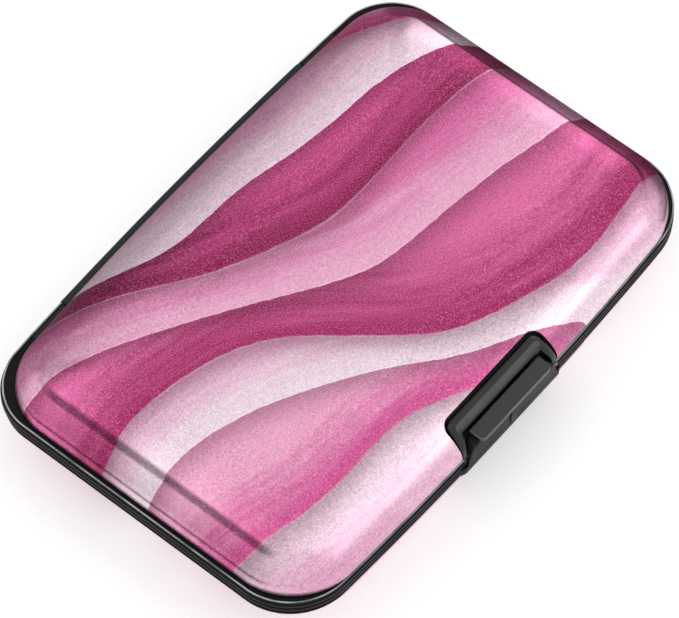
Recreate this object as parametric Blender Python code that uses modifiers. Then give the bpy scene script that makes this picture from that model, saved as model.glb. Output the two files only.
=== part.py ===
"""Hinged aluminium card holder with a sprung front latch and a fan of card pockets.

Metres, +Z up. The origin is the centre of the flat underside. X runs along the case,
the latch is on the -Y side and the hinge on the +Y side. Heights in the profiles below
are measured from the parting plane between the two halves.
"""

import math

import bmesh
import bpy
import numpy as np
from mathutils import Matrix, Vector

# Case outline at the frames' outer wall
FRAME_LENGTH = 0.1100
FRAME_WIDTH = 0.0741
SIDE_BOW = 0.0017
FRAME_FRONT_CORNER = 0.0117
FRAME_REAR_CORNER = 0.0105
CASE_THICKNESS = 0.0200
FRAME_HEIGHT = 0.00205
PARTING_GAP = 0.0003

# Stamped covers
COVER_THICKNESS = 0.0005
COVER_LIFT = 0.00015
COVER_FRONT_CORNER = 0.0125
COVER_REAR_CORNER = 0.0115
COVER_LEAST_CORNER = 0.0025
COVER_END_LEDGE = 0.0009
COVER_FRONT_LEDGE = 0.0002
COVER_REAR_LEDGE = 0.0018
CROWN_REACH = 0.0220
# Share of CROWN_REACH in from the rim, and share of the rise from rim to crown
SIDE_PROFILE = (
    (0.0, 0.0), (0.0055, 0.135), (0.023, 0.276), (0.055, 0.391), (0.10, 0.506),
    (0.16, 0.609), (0.175, 0.628), (0.236, 0.705), (0.277, 0.750), (0.318, 0.788),
    (0.409, 0.853), (0.545, 0.923), (0.727, 0.974), (1.0, 1.0),
)
END_PROFILE = (
    (0.0, 0.0), (0.0055, 0.135), (0.023, 0.276), (0.055, 0.391), (0.10, 0.506),
    (0.16, 0.609), (0.175, 0.641), (0.236, 0.833), (0.277, 0.868), (0.318, 0.896),
    (0.409, 0.945), (0.545, 0.980), (0.727, 0.995), (1.0, 1.0),
)

# Moulded frames: a tray behind each cover and a wall round the rim
TRAY_GAP = 0.0003
TRAY_WALL = 0.0011
TRAY_FLOOR = 0.0061
TRAY_STEPS = (0.0, 0.023, 0.055, 0.10, 0.16, 0.191, 0.236, 0.277, 0.318, 0.418)
RIM_WALL = 0.0033
EDGE_ROUND = 0.00015
REAR_BULGE = 0.00062
GROOVE_DEPTH = 0.00025
GROOVE_LOW = 0.0010
GROOVE_HIGH = 0.0016

# Hinge
HINGE_AXIS_IN = 0.0017
BARREL_TOP = 0.00192
BARREL_TUCK = 0.00002
HINGE_CLEARANCE = 0.00028
WELD_DEPTH = 0.0001
CENTRE_BARREL_LENGTH = 0.0640
KNUCKLE_LENGTH = 0.0072
KNUCKLE_RECESS = 0.00010
JOINT_GAP = 0.0003
PIN_RADIUS = 0.0006
PIN_CLEARANCE = 0.0001
PIN_END_IN = 0.0005
LID_OPEN_ANGLE = math.radians(45.0)
LID_RELIEF_MARGIN = math.radians(6.0)

# Latch
NOTCH_WIDTH = 0.0256
NOTCH_FLARE = 0.0002
NOTCH_DEPTH = 0.0055
NOTCH_CORNER = 0.0022
NOTCH_GAP = 0.00025
HOOD_PROUD = 0.0003
HOOD_REACH = 0.0021
HOOD_LIP = 0.0009
MOUTH_TOP_WIDTH = 0.0196
MOUTH_BOTTOM_WIDTH = 0.0262
BOSS_GAP = 0.0003
BOSS_PROUD = 0.0004
BOSS_TOP = 0.0045
BOSS_REAR_WALL = 0.00055
PANEL_WIDTH = 0.0278
LATCH_WALL = 0.0020
PLATE_LENGTH = 0.0185
PLATE_DEPTH = 0.0031
PLATE_THICKNESS = 0.0010
PLATE_CORNER = 0.0009
PLATE_HEIGHT = 0.0060
SLOT_WIDTH = 0.00045
STEM_THICKNESS = 0.0010
STEM_LENGTH = 0.0166
STEM_SIDE_GAP = 0.0003
LATCH_PIVOT_HEIGHT = -0.0005
PIVOT_RADIUS = 0.0009
PIVOT_PIN_RADIUS = 0.00045
PIVOT_CLEARANCE = 0.0001
PIVOT_PIN_HOLD = 0.0016
WELL_FLOOR_GAP = 0.0002
FRONT_TRAVEL_GAP = 0.0006
HOOK_REACH = 0.00085
HOOK_HEIGHT = 0.0010
HOOK_LOW = 0.0033
HOOK_RUNNING_GAP = 0.00015
CATCH_DEPTH = 0.0006
CATCH_HEIGHT = 0.0007
RIB_WIDTH = 0.0016
RIB_PROUD = 0.0002
SPRING_WIRE = 0.00014
SPRING_TURNS = 6
SPRING_LENGTH = 0.0034
SPRING_GAP = 0.0003
SPRING_BORE_GAP = 0.00018
SPRING_LEG = 0.0011

# Card pockets
LEAF_COUNT = 7
LEAF_THICKNESS = 0.0003
LEAF_CORNER = 0.0065
LEAF_END_INSET = 0.0088
LEAF_FRONT_INSET = 0.00675
LEAF_REAR_INSET = 0.00825
END_LEAF_LENGTH_CUT = 0.0021
END_LEAF_WIDTH_CUT = 0.0015
STACK_GAP = 0.0006
FILM = 0.00018
PLEAT_GAP = 0.00012
PLEAT_END_DEPTH = 0.0031
PLEAT_REAR_DEPTH = 0.0020
PLEAT_FRONT_STOP = 0.0040

# Tapes that hold the first and last leaf in the trays
TAPE_LENGTH = 0.0700
TAPE_WIDTH = 0.0120
TAPE_GAP = 0.0001

# Pads that carry the crown of each cover
PAD_LENGTH = 0.0580
PAD_WIDTH = 0.0240
PAD_GAP = 0.00015
PAD_CORNER = 0.0020

# Smoothness
CORNER_STEPS = 7
LONG_STEPS = 10
SHORT_STEPS = 5
ROUND_STEPS = 24

PARTING_Z = CASE_THICKNESS / 2
RIM_HEIGHT = FRAME_HEIGHT + COVER_LIFT
CROWN_RISE = CASE_THICKNESS / 2 - RIM_HEIGHT
TRAY_INSET = COVER_THICKNESS + TRAY_GAP
TRAY_INNER_INSET = TRAY_INSET + TRAY_WALL
TRAY_TOP = TRAY_FLOOR + TRAY_WALL
HINGE_Y = FRAME_WIDTH / 2 - HINGE_AXIS_IN
LEAF_HALF_LENGTH = FRAME_LENGTH / 2 - LEAF_END_INSET
LEAF_FRONT = FRAME_WIDTH / 2 - LEAF_FRONT_INSET
LEAF_REAR = FRAME_WIDTH / 2 - LEAF_REAR_INSET
HOOD_FRONT_Y = -FRAME_WIDTH / 2 + COVER_FRONT_LEDGE + HOOD_REACH
PLATE_INNER_Y = HOOD_FRONT_Y - SLOT_WIDTH
PLATE_OUTER_Y = PLATE_INNER_Y - PLATE_DEPTH
STEM_INNER_Y = PLATE_INNER_Y - STEM_SIDE_GAP / 2
PIVOT_Y = STEM_INNER_Y - STEM_THICKNESS / 2
BOSS_FACE_Y = -FRAME_WIDTH / 2 - BOSS_PROUD


def clear_scene():
    for obj in list(bpy.data.objects):
        bpy.data.objects.remove(obj, do_unlink=True)


def collection(name, hidden=False):
    made = bpy.data.collections.new(name)
    bpy.context.scene.collection.children.link(made)
    made.hide_render = hidden
    return made


def material(name, colour, roughness, metallic=0.0):
    made = bpy.data.materials.new(name)
    made.use_nodes = True
    shader = made.node_tree.nodes["Principled BSDF"]
    shader.inputs["Base Color"].default_value = (*colour, 1.0)
    shader.inputs["Roughness"].default_value = roughness
    shader.inputs["Metallic"].default_value = metallic
    return made


def add_object(name, mesh, group, finish=None):
    obj = bpy.data.objects.new(name, mesh)
    group.objects.link(obj)
    if finish is not None:
        mesh.materials.append(finish)
        mesh.shade_smooth()
        mesh.set_sharp_from_angle(angle=math.radians(35))
    return obj


def add_cutter(name, mesh):
    obj = add_object(name, mesh, CUTTERS)
    obj.hide_render = True
    obj.display_type = "WIRE"
    return obj


def combine(obj, operation, other):
    modifier = obj.modifiers.new(other.name, "BOOLEAN")
    modifier.operation = operation
    modifier.object = other
    modifier.solver = "EXACT"


def steps(start, end, count):
    return [start + (end - start) * i / count for i in range(count)]


def corner_centre(half_length, reach, corner, bow):
    """Centre of a corner between a short end and a bowed long side, and where it starts."""
    start = half_length - corner
    slope = math.atan(2 * bow * start / half_length**2)
    side = reach - bow * (start / half_length) ** 2
    return start, start - corner * math.sin(slope), side - corner * math.cos(slope), slope


def outline(half_length, front, rear, front_corner, rear_corner, bow=SIDE_BOW):
    """Rounded rectangle with bowed long sides, anticlockwise from the front left.

    Each point is (x, y, end_share), where end_share is 1 on a short end, 0 on a long
    side and turns smoothly in the corner between them.
    """
    sides = {
        -1: (front, front_corner, *corner_centre(half_length, front, front_corner, bow)),
        1: (rear, rear_corner, *corner_centre(half_length, rear, rear_corner, bow)),
    }

    def long_side(face, turn):
        """Points along a long side, up to but not including its far corner."""
        reach, _, start, *_ = sides[face]
        for x in steps(-turn * start, turn * start, LONG_STEPS)[1:]:
            yield x, face * (reach - bow * (x / half_length) ** 2), 0.0

    def corner(face, turn):
        """Points round one corner, from the long side to the short end."""
        _, radius, _, centre_x, centre_y, slope = sides[face]
        stretch = half_length / (centre_x + radius) - 1
        for i in range(CORNER_STEPS + 1):
            share = i / CORNER_STEPS
            angle = (math.pi / 2 - slope) * (1 - share)
            x = (centre_x + radius * math.cos(angle)) * (1 + stretch * share)
            y = centre_y + radius * math.sin(angle)
            yield turn * x, face * y, share * share * (3 - 2 * share)

    def short_end(turn):
        """Points between the two corners of a short end."""
        low, high = -sides[-1][4], sides[1][4]
        for y in steps(low, high, SHORT_STEPS)[1:] if turn > 0 else steps(high, low, SHORT_STEPS)[1:]:
            yield turn * half_length, y, 1.0

    points = list(reversed(list(corner(-1, -1))))
    points += list(long_side(-1, 1)) + list(corner(-1, 1)) + list(short_end(1))
    points += list(reversed(list(corner(1, 1)))) + list(long_side(1, -1))
    points += list(corner(1, -1)) + list(short_end(-1))
    return points


def frame_ring(inset, rear_bulge, height):
    """Outline of the frame's wall, at a height above the parting plane."""
    half_width = FRAME_WIDTH / 2 - inset
    corners = (FRAME_FRONT_CORNER - inset, FRAME_REAR_CORNER - inset)
    ring = outline(FRAME_LENGTH / 2 - inset, half_width, half_width + rear_bulge, *corners)
    return [Vector((x, y, height)) for x, y, _ in ring]


def cover_reach(inset):
    """Half length, front and rear reach and corner radii of the cover, this far in."""
    corners = [max(c - inset, COVER_LEAST_CORNER) for c in (COVER_FRONT_CORNER, COVER_REAR_CORNER)]
    return (
        FRAME_LENGTH / 2 - COVER_END_LEDGE - inset,
        FRAME_WIDTH / 2 - COVER_FRONT_LEDGE - inset,
        FRAME_WIDTH / 2 - COVER_REAR_LEDGE - inset,
        *corners,
    )


def profile(table, inset):
    insets = [row[0] * CROWN_REACH for row in table]
    shares = [row[1] for row in table]
    return RIM_HEIGHT + CROWN_RISE * float(np.interp(inset, insets, shares))


def cover_height(inset, end_share):
    side = profile(SIDE_PROFILE, inset)
    end = profile(END_PROFILE, inset)
    return side + (end - side) * end_share


def cover_ring(inset, depth=0.0, ceiling=None, at=None):
    """Ring on the cover's outer surface, this far in from its rim, sunk by depth.

    The ring lies on the surface moved in and down by depth, no higher than ceiling,
    or flat at a given height.
    """
    ring = []
    for x, y, share in outline(*cover_reach(inset)):
        height = cover_height(max(inset - depth, 0.0), share) - depth if at is None else at
        if ceiling is not None:
            height = min(height, ceiling)
        ring.append(Vector((x, y, height)))
    return ring


def loft(rings, upper, closed=True):
    """Mesh of rings joined in turn, with flat caps. upper says which half it is for."""
    mesh = bpy.data.meshes.new("loft")
    form = bmesh.new()
    sign = 1 if upper else -1
    layers = []
    for ring in rings:
        layer = [form.verts.new((p.x, p.y, PARTING_Z + sign * p.z)) for p in ring]
        layers.append(layer)
    count = len(layers[0])
    for low, high in zip(layers, layers[1:]):
        for i in range(count):
            j = (i + 1) % count
            form.faces.new((low[i], low[j], high[j], high[i]))
    form.faces.new(layers[-1])
    if closed:
        form.faces.new(list(reversed(layers[0])))
    if not upper:
        bmesh.ops.reverse_faces(form, faces=form.faces)
    form.to_mesh(mesh)
    form.free()
    return mesh


def prism(points, axis, start, end):
    """Solid with a flat outline, along one axis. points are (a, b) pairs in the plane.

    The plane is YZ for axis X, XZ for axis Y and XY for axis Z.
    """
    curve = bpy.data.curves.new("outline", "CURVE")
    curve.dimensions = "2D"
    curve.fill_mode = "BOTH"
    curve.extrude = (end - start) / 2
    spline = curve.splines.new("POLY")
    spline.points.add(len(points) - 1)
    for point, (a, b) in zip(spline.points, points):
        point.co = (a, b, 0.0, 1.0)
    spline.use_cyclic_u = True
    middle = (start + end) / 2
    columns = {
        "X": ((0, 1, 0), (0, 0, 1), (1, 0, 0), (middle, 0, 0)),
        "Y": ((1, 0, 0), (0, 0, 1), (0, -1, 0), (0, middle, 0)),
        "Z": ((1, 0, 0), (0, 1, 0), (0, 0, 1), (0, 0, middle)),
    }[axis]
    rows = [(*row, shift) for row, shift in zip(zip(*columns[:3]), columns[3])]
    place = Matrix(rows + [(0, 0, 0, 1)])
    obj = bpy.data.objects.new("outline", curve)
    CUTTERS.objects.link(obj)
    bpy.context.view_layer.update()
    graph = bpy.context.evaluated_depsgraph_get()
    mesh = bpy.data.meshes.new_from_object(obj.evaluated_get(graph))
    bpy.data.objects.remove(obj, do_unlink=True)
    mesh.transform(place)
    form = bmesh.new()
    form.from_mesh(mesh)
    bmesh.ops.remove_doubles(form, verts=form.verts, dist=1e-7)
    bmesh.ops.recalc_face_normals(form, faces=form.faces)
    form.to_mesh(mesh)
    form.free()
    return mesh


def at_parting(points):
    """Pairs whose second value is a height above the parting plane, made world heights."""
    return [(a, PARTING_Z + b) for a, b in points]


def rod(radius, start, end, y, height, sides=ROUND_STEPS):
    """Cylinder along X between start and end."""
    form = bmesh.new()
    turn = Matrix.Rotation(math.pi / 2, 4, "Y")
    place = Matrix.Translation(((start + end) / 2, y, PARTING_Z + height))
    bmesh.ops.create_cone(
        form, cap_ends=True, segments=sides, radius1=radius, radius2=radius,
        depth=end - start, matrix=place @ turn,
    )
    mesh = bpy.data.meshes.new("rod")
    form.to_mesh(mesh)
    form.free()
    return mesh


def rounded_box(half_length, front, rear, corner, arc_steps=4):
    """Outline of a plain rounded rectangle in XY, anticlockwise."""
    points = []
    middle, half = (rear - front) / 2, (rear + front) / 2
    for quarter, (sx, sy) in enumerate(((1, -1), (1, 1), (-1, 1), (-1, -1))):
        for i in range(arc_steps + 1):
            angle = math.radians(-90 + 90 * quarter + 90 * i / arc_steps)
            x = sx * (half_length - corner) + corner * math.cos(angle)
            y = middle + sy * (half - corner) + corner * math.sin(angle)
            points.append((x, y))
    return points


def wall_y(x):
    """Rear face of the frame's wall at ledge height."""
    return FRAME_WIDTH / 2 - SIDE_BOW * (x / (FRAME_LENGTH / 2)) ** 2


def barrel(start, end, recess):
    """Hinge barrel along X. Its top meets the ledge and its rear follows the bowed wall."""
    form = bmesh.new()
    stations = 12
    layers = []
    for i in range(stations + 1):
        x = start + (end - start) * i / stations
        rear = wall_y(x) + REAR_BULGE - HINGE_Y - recess
        layer = []
        for j in range(ROUND_STEPS):
            angle = math.radians(360 * j / ROUND_STEPS)
            lean = max(0.0, math.cos(angle)) ** 2
            radius = BARREL_TOP - recess + (rear - BARREL_TOP + recess) * lean
            y = HINGE_Y + radius * math.cos(angle)
            z = PARTING_Z + (radius - BARREL_TUCK) * math.sin(angle)
            layer.append(form.verts.new((x, y, z)))
        layers.append(layer)
    for low, high in zip(layers, layers[1:]):
        for j in range(ROUND_STEPS):
            k = (j + 1) % ROUND_STEPS
            form.faces.new((low[j], low[k], high[k], high[j]))
    form.faces.new(list(reversed(layers[0])))
    form.faces.new(layers[-1])
    bmesh.ops.recalc_face_normals(form, faces=form.faces)
    bmesh.ops.triangulate(form, faces=form.faces)
    mesh = bpy.data.meshes.new("barrel")
    form.to_mesh(mesh)
    form.free()
    return mesh


def cover(name, upper, notch):
    """Stamped aluminium cover: an open surface made solid inwards, notched for the latch."""
    rings = [cover_ring(share * CROWN_REACH) for share, _ in SIDE_PROFILE]
    obj = add_object(name, loft(rings, upper, closed=False), PARTS, FINISH["aluminium"])
    shell = obj.modifiers.new("Shell", "SOLIDIFY")
    shell.thickness = COVER_THICKNESS
    shell.offset = -1.0
    combine(obj, "DIFFERENCE", notch)
    return obj


def frame_body(name, upper):
    """Moulded frame: tray, parting face, grooved wall and ledge, as one lofted solid."""
    tray_steps = [share * CROWN_REACH for share in TRAY_STEPS]
    rings = [cover_ring(TRAY_INNER_INSET + tray_steps[-1], at=TRAY_FLOOR)]
    for inset in reversed(tray_steps[3:-1]):
        rings.append(cover_ring(TRAY_INNER_INSET + inset, TRAY_INNER_INSET, TRAY_FLOOR))
    gap = PARTING_GAP / 2
    rings.append(cover_ring(RIM_WALL + COVER_THICKNESS, at=FRAME_HEIGHT))
    rings.append(cover_ring(RIM_WALL, at=gap))
    rings.append(frame_ring(EDGE_ROUND, REAR_BULGE - EDGE_ROUND, gap))
    rings.append(frame_ring(0.0, REAR_BULGE, gap + EDGE_ROUND))
    rings.append(frame_ring(0.0, REAR_BULGE * 0.8, GROOVE_LOW))
    rings.append(frame_ring(GROOVE_DEPTH, REAR_BULGE * 0.75 + GROOVE_DEPTH, GROOVE_LOW + EDGE_ROUND / 2))
    rings.append(frame_ring(GROOVE_DEPTH, REAR_BULGE * 0.55 + GROOVE_DEPTH, GROOVE_HIGH - EDGE_ROUND / 2))
    rings.append(frame_ring(EDGE_ROUND / 3, REAR_BULGE * 0.45, GROOVE_HIGH))
    rings.append(frame_ring(EDGE_ROUND / 3, REAR_BULGE * 0.1, FRAME_HEIGHT - EDGE_ROUND))
    rings.append(frame_ring(EDGE_ROUND, 0.0, FRAME_HEIGHT))
    rings.append(cover_ring(TRAY_INSET, at=FRAME_HEIGHT))
    for inset in tray_steps[1:]:
        rings.append(cover_ring(TRAY_INSET + inset, TRAY_INSET, TRAY_TOP))
    obj = add_object(name, loft(rings, upper), PARTS, FINISH["black_abs"])
    return obj


def notch_outline(gap, mouth):
    """Plan of the latch notch out to mouth, or of what fills it with this gap all round."""
    rear = -FRAME_WIDTH / 2 + COVER_FRONT_LEDGE + NOTCH_DEPTH - gap
    half = NOTCH_WIDTH / 2 - gap
    corner = NOTCH_CORNER - gap
    wide = half + NOTCH_FLARE
    points = [(-wide, mouth), (wide, mouth)]
    for i in range(5):
        angle = math.radians(90 * i / 4)
        points.append((half - corner + corner * math.cos(angle), rear - corner + corner * math.sin(angle)))
    for i in range(5):
        angle = math.radians(90 + 90 * i / 4)
        points.append((-half + corner + corner * math.cos(angle), rear - corner + corner * math.sin(angle)))
    return points


def notch_cutter(upper):
    """Cuts the latch notch through one cover."""
    sign = 1 if upper else -1
    ends = sorted((PARTING_Z + sign * FRAME_HEIGHT * 0.5, PARTING_Z + sign * CASE_THICKNESS))
    mesh = prism(notch_outline(0.0, BOSS_FACE_Y - BOSS_PROUD), "Z", *ends)
    return add_cutter("notch_" + ("upper" if upper else "lower"), mesh)


def hood_profile():
    """Outer line of the hood in YZ from the wall up and in to the notch's inner edge."""
    rim = -FRAME_WIDTH / 2 + COVER_FRONT_LEDGE
    points = []
    for share, _ in SIDE_PROFILE:
        inset = share * CROWN_REACH
        if inset > NOTCH_DEPTH + HOOD_LIP:
            break
        swell = min(1.0, inset / HOOD_REACH) * max(0.0, 1 - inset / (NOTCH_DEPTH + HOOD_LIP))
        points.append((rim + inset, profile(SIDE_PROFILE, inset) + 2 * HOOD_PROUD * swell))
    return points


def hood(name, upper):
    """Block that fills the notch in one cover, flush with the cover's own curve."""
    sign = 1 if upper else -1
    ends = sorted((PARTING_Z + sign * FRAME_HEIGHT * 0.8, PARTING_Z + sign * CASE_THICKNESS / 2))
    block = add_cutter(name, prism(notch_outline(NOTCH_GAP, BOSS_FACE_Y), "Z", *ends))
    line = hood_profile()
    section = [(line[-1][0] + LATCH_WALL, 0.0), (line[0][0], 0.0)] + line
    section.append((line[-1][0] + LATCH_WALL, line[-1][1]))
    section = [(y, PARTING_Z + sign * z) for y, z in section]
    form = add_cutter(name + "_form", prism(section, "X", -NOTCH_WIDTH, NOTCH_WIDTH))
    combine(block, "INTERSECT", form)
    return block


def latch_support(name, upper):
    """Wall behind the latch that ties the hood, or the boss, to the tray."""
    sign = 1 if upper else -1
    rear = -FRAME_WIDTH / 2 + COVER_FRONT_LEDGE + NOTCH_DEPTH + NOTCH_GAP
    front = rear - LATCH_WALL
    top = cover_height(NOTCH_DEPTH - NOTCH_GAP, 0.0) - 2.2 * TRAY_INSET
    ends = sorted((sign * PARTING_GAP / 2, sign * top))
    points = [(front, ends[0]), (rear, ends[0]), (rear, ends[1]), (front, ends[1])]
    half = MOUTH_BOTTOM_WIDTH / 2 + NOTCH_FLARE
    return add_cutter(name, prism(at_parting(points), "X", -half, half))


def taper(half_top, half_bottom, top, bottom):
    """Trapezium in XZ about x = 0, its heights above the parting plane."""
    return at_parting([(-half_bottom, bottom), (half_bottom, bottom), (half_top, top), (-half_top, top)])


def mouth_cutter():
    """Opening in the hood for the boss and the button, with a catch step for the hook."""
    low = -FRAME_HEIGHT / 2
    high = profile(SIDE_PROFILE, HOOD_REACH) - HOOD_LIP
    catch_y = STEM_INNER_Y + HOOK_REACH + HOOK_RUNNING_GAP
    pocket_y = catch_y + CATCH_DEPTH
    catch_high = HOOK_LOW - HOOK_RUNNING_GAP
    catch_low = catch_high - CATCH_HEIGHT
    far = PLATE_OUTER_Y - PLATE_DEPTH
    top = CASE_THICKNESS
    section = [
        (far, low), (pocket_y, low), (pocket_y, catch_low), (catch_y, catch_low),
        (catch_y, catch_high), (pocket_y, catch_high), (pocket_y, high),
        (HOOD_FRONT_Y, high), (HOOD_FRONT_Y, top), (far, top),
    ]
    cutter = add_cutter("mouth", prism(at_parting(section), "X", -NOTCH_WIDTH, NOTCH_WIDTH))
    plane = taper(
        MOUTH_TOP_WIDTH / 2, MOUTH_BOTTOM_WIDTH / 2, CASE_THICKNESS / 2, low * 2
    )
    sides = add_cutter("mouth_sides", prism(plane, "Y", 2 * far, 0.0))
    combine(cutter, "INTERSECT", sides)
    return cutter


def hinge_room(name, radius, start, end):
    """Room round a stretch of hinge barrel: a bore with everything behind it cleared."""
    cutter = add_cutter(name, rod(radius, start, end, HINGE_Y, 0.0))
    far = FRAME_WIDTH
    points = at_parting([(HINGE_Y, -radius), (far, -radius), (far, radius), (HINGE_Y, radius)])
    shrink = JOINT_GAP / 100
    behind = add_cutter(name + "_behind", prism(points, "X", start + shrink, end - shrink))
    combine(cutter, "UNION", behind)
    return cutter


def relief_cutter(name, start, end):
    """Wedge off the lid's wall behind the hinge line, so that the lid can turn back."""
    lean = LID_OPEN_ANGLE + LID_RELIEF_MARGIN
    run = FRAME_HEIGHT * 2
    origin = HINGE_Y - PARTING_GAP
    low = -FRAME_HEIGHT / 4
    points = [(origin, low), (origin + run, low), (origin + run, run * math.tan(lean)), (origin, 0.0)]
    return add_cutter(name, prism(at_parting(points), "X", start, end))


def lower_frame():
    """Frame of the base, with the centre hinge barrel and the latch boss."""
    obj = frame_body("lower_frame", False)
    centre = CENTRE_BARREL_LENGTH / 2
    knuckle_end = centre + KNUCKLE_LENGTH + 2 * JOINT_GAP
    knuckle_radius = BARREL_TOP + HINGE_CLEARANCE
    reach = centre + WELD_DEPTH
    combine(obj, "UNION", add_cutter("centre_barrel", barrel(-reach, reach, 0.0)))
    for side, label in ((-1, "left"), (1, "right")):
        ends = sorted((side * centre, side * knuckle_end))
        combine(obj, "DIFFERENCE", hinge_room("room_" + label, knuckle_radius, *ends))
    combine(obj, "UNION", hood("lower_hood", False))
    combine(obj, "UNION", latch_support("lower_support", False))
    combine(obj, "UNION", latch_boss())
    combine(obj, "DIFFERENCE", latch_well())
    combine(obj, "DIFFERENCE", bore("pin_bore", PIN_RADIUS + PIN_CLEARANCE, HINGE_Y, 0.0))
    reach = STEM_LENGTH / 2 + STEM_SIDE_GAP + PIVOT_PIN_HOLD + STEM_SIDE_GAP
    radius = PIVOT_PIN_RADIUS + PIVOT_CLEARANCE
    pivot_bore = add_cutter("pivot_bore", rod(radius, -reach, reach, PIVOT_Y, LATCH_PIVOT_HEIGHT, 16))
    combine(obj, "DIFFERENCE", pivot_bore)
    return obj


def bore(name, radius, y, height):
    reach = CENTRE_BARREL_LENGTH / 2 + KNUCKLE_LENGTH + JOINT_GAP
    return add_cutter(name, rod(radius, -reach, reach, y, height, 16))


def latch_boss():
    """Boss that stands up from the lower frame's front wall into the hood's mouth."""
    rear = PIVOT_Y + PIVOT_RADIUS + WELL_FLOOR_GAP + BOSS_REAR_WALL
    low = EDGE_ROUND - FRAME_HEIGHT
    section = [
        (BOSS_FACE_Y, low), (rear, low), (rear, HOOK_LOW - CATCH_HEIGHT * 2.4),
        (STEM_INNER_Y, HOOK_LOW - CATCH_HEIGHT * 2.4), (STEM_INNER_Y, BOSS_TOP),
        (BOSS_FACE_Y + EDGE_ROUND * 2, BOSS_TOP), (BOSS_FACE_Y, BOSS_TOP - EDGE_ROUND * 3),
    ]
    reach = NOTCH_WIDTH
    boss = add_cutter("boss", prism(at_parting(section), "X", -reach, reach))
    top = MOUTH_TOP_WIDTH / 2 - BOSS_GAP
    bottom = MOUTH_BOTTOM_WIDTH / 2 - BOSS_GAP
    plane = taper(top, bottom, CASE_THICKNESS / 2, -FRAME_HEIGHT)
    sides = add_cutter("boss_sides", prism(plane, "Y", 2 * BOSS_FACE_Y, 0.0))
    combine(boss, "INTERSECT", sides)
    low, high = EDGE_ROUND / 2 - FRAME_HEIGHT, -PARTING_GAP / 2 - EDGE_ROUND / 2
    inner = -FRAME_WIDTH / 2 + RIM_WALL / 2
    half = PANEL_WIDTH / 2
    face_half = half - BOSS_PROUD
    face = [(-half, inner), (-face_half, BOSS_FACE_Y), (face_half, BOSS_FACE_Y), (half, inner)]
    panel = add_cutter("boss_panel", prism(face, "Z", PARTING_Z + low, PARTING_Z + high))
    combine(boss, "UNION", panel)
    front = BOSS_FACE_Y - RIB_PROUD
    rib_top = BOSS_TOP * 0.8
    rib = at_parting([
        (front, -BOSS_PROUD), (rear, -BOSS_PROUD), (rear, 0.0), (BOSS_FACE_Y, rib_top),
        (front, rib_top - RIB_PROUD),
    ])
    combine(boss, "UNION", add_cutter("boss_rib", prism(rib, "X", -RIB_WIDTH / 2, RIB_WIDTH / 2)))
    return boss


def latch_well():
    """Well in the boss for the button's stem, open at the top."""
    front = PIVOT_Y - STEM_THICKNESS / 2 - FRONT_TRAVEL_GAP
    rear = PIVOT_Y + PIVOT_RADIUS + WELL_FLOOR_GAP
    low = LATCH_PIVOT_HEIGHT - PIVOT_RADIUS - WELL_FLOOR_GAP
    half = STEM_LENGTH / 2 + STEM_SIDE_GAP
    points = at_parting([(front, low), (rear, low), (rear, CASE_THICKNESS), (front, CASE_THICKNESS)])
    return add_cutter("well", prism(points, "X", -half, half))


def upper_frame():
    """Frame of the lid, with the end knuckles of the hinge and the hood over the latch."""
    obj = frame_body("upper_frame", True)
    centre = CENTRE_BARREL_LENGTH / 2
    start = centre + JOINT_GAP
    end = start + KNUCKLE_LENGTH
    for side, label in ((-1, "left"), (1, "right")):
        wedge = sorted((side * (end - WELD_DEPTH), side * FRAME_LENGTH / 2))
        combine(obj, "DIFFERENCE", relief_cutter("relief_" + label, *wedge))
        seat = sorted((side * (start - JOINT_GAP), side * (end - WELD_DEPTH / 2)))
        combine(obj, "DIFFERENCE", hinge_room("seat_" + label, BARREL_TOP * 0.9, *seat))
        length = sorted((side * (start - WELD_DEPTH), side * end))
        combine(obj, "UNION", add_cutter("knuckle_" + label, barrel(*length, KNUCKLE_RECESS)))
    room = hinge_room("room_centre", BARREL_TOP + HINGE_CLEARANCE, -start, start)
    combine(obj, "DIFFERENCE", room)
    combine(obj, "UNION", hood("upper_hood", True))
    combine(obj, "UNION", latch_support("upper_support", True))
    combine(obj, "DIFFERENCE", mouth_cutter())
    combine(obj, "DIFFERENCE", bore("lid_pin_bore", PIN_RADIUS + PIN_CLEARANCE, HINGE_Y, 0.0))
    return obj


def hinge_pin():
    reach = CENTRE_BARREL_LENGTH / 2 + JOINT_GAP + KNUCKLE_LENGTH - PIN_END_IN
    return add_object("hinge_pin", rod(PIN_RADIUS, -reach, reach, HINGE_Y, 0.0, 16), PARTS, FINISH["steel"])


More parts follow.
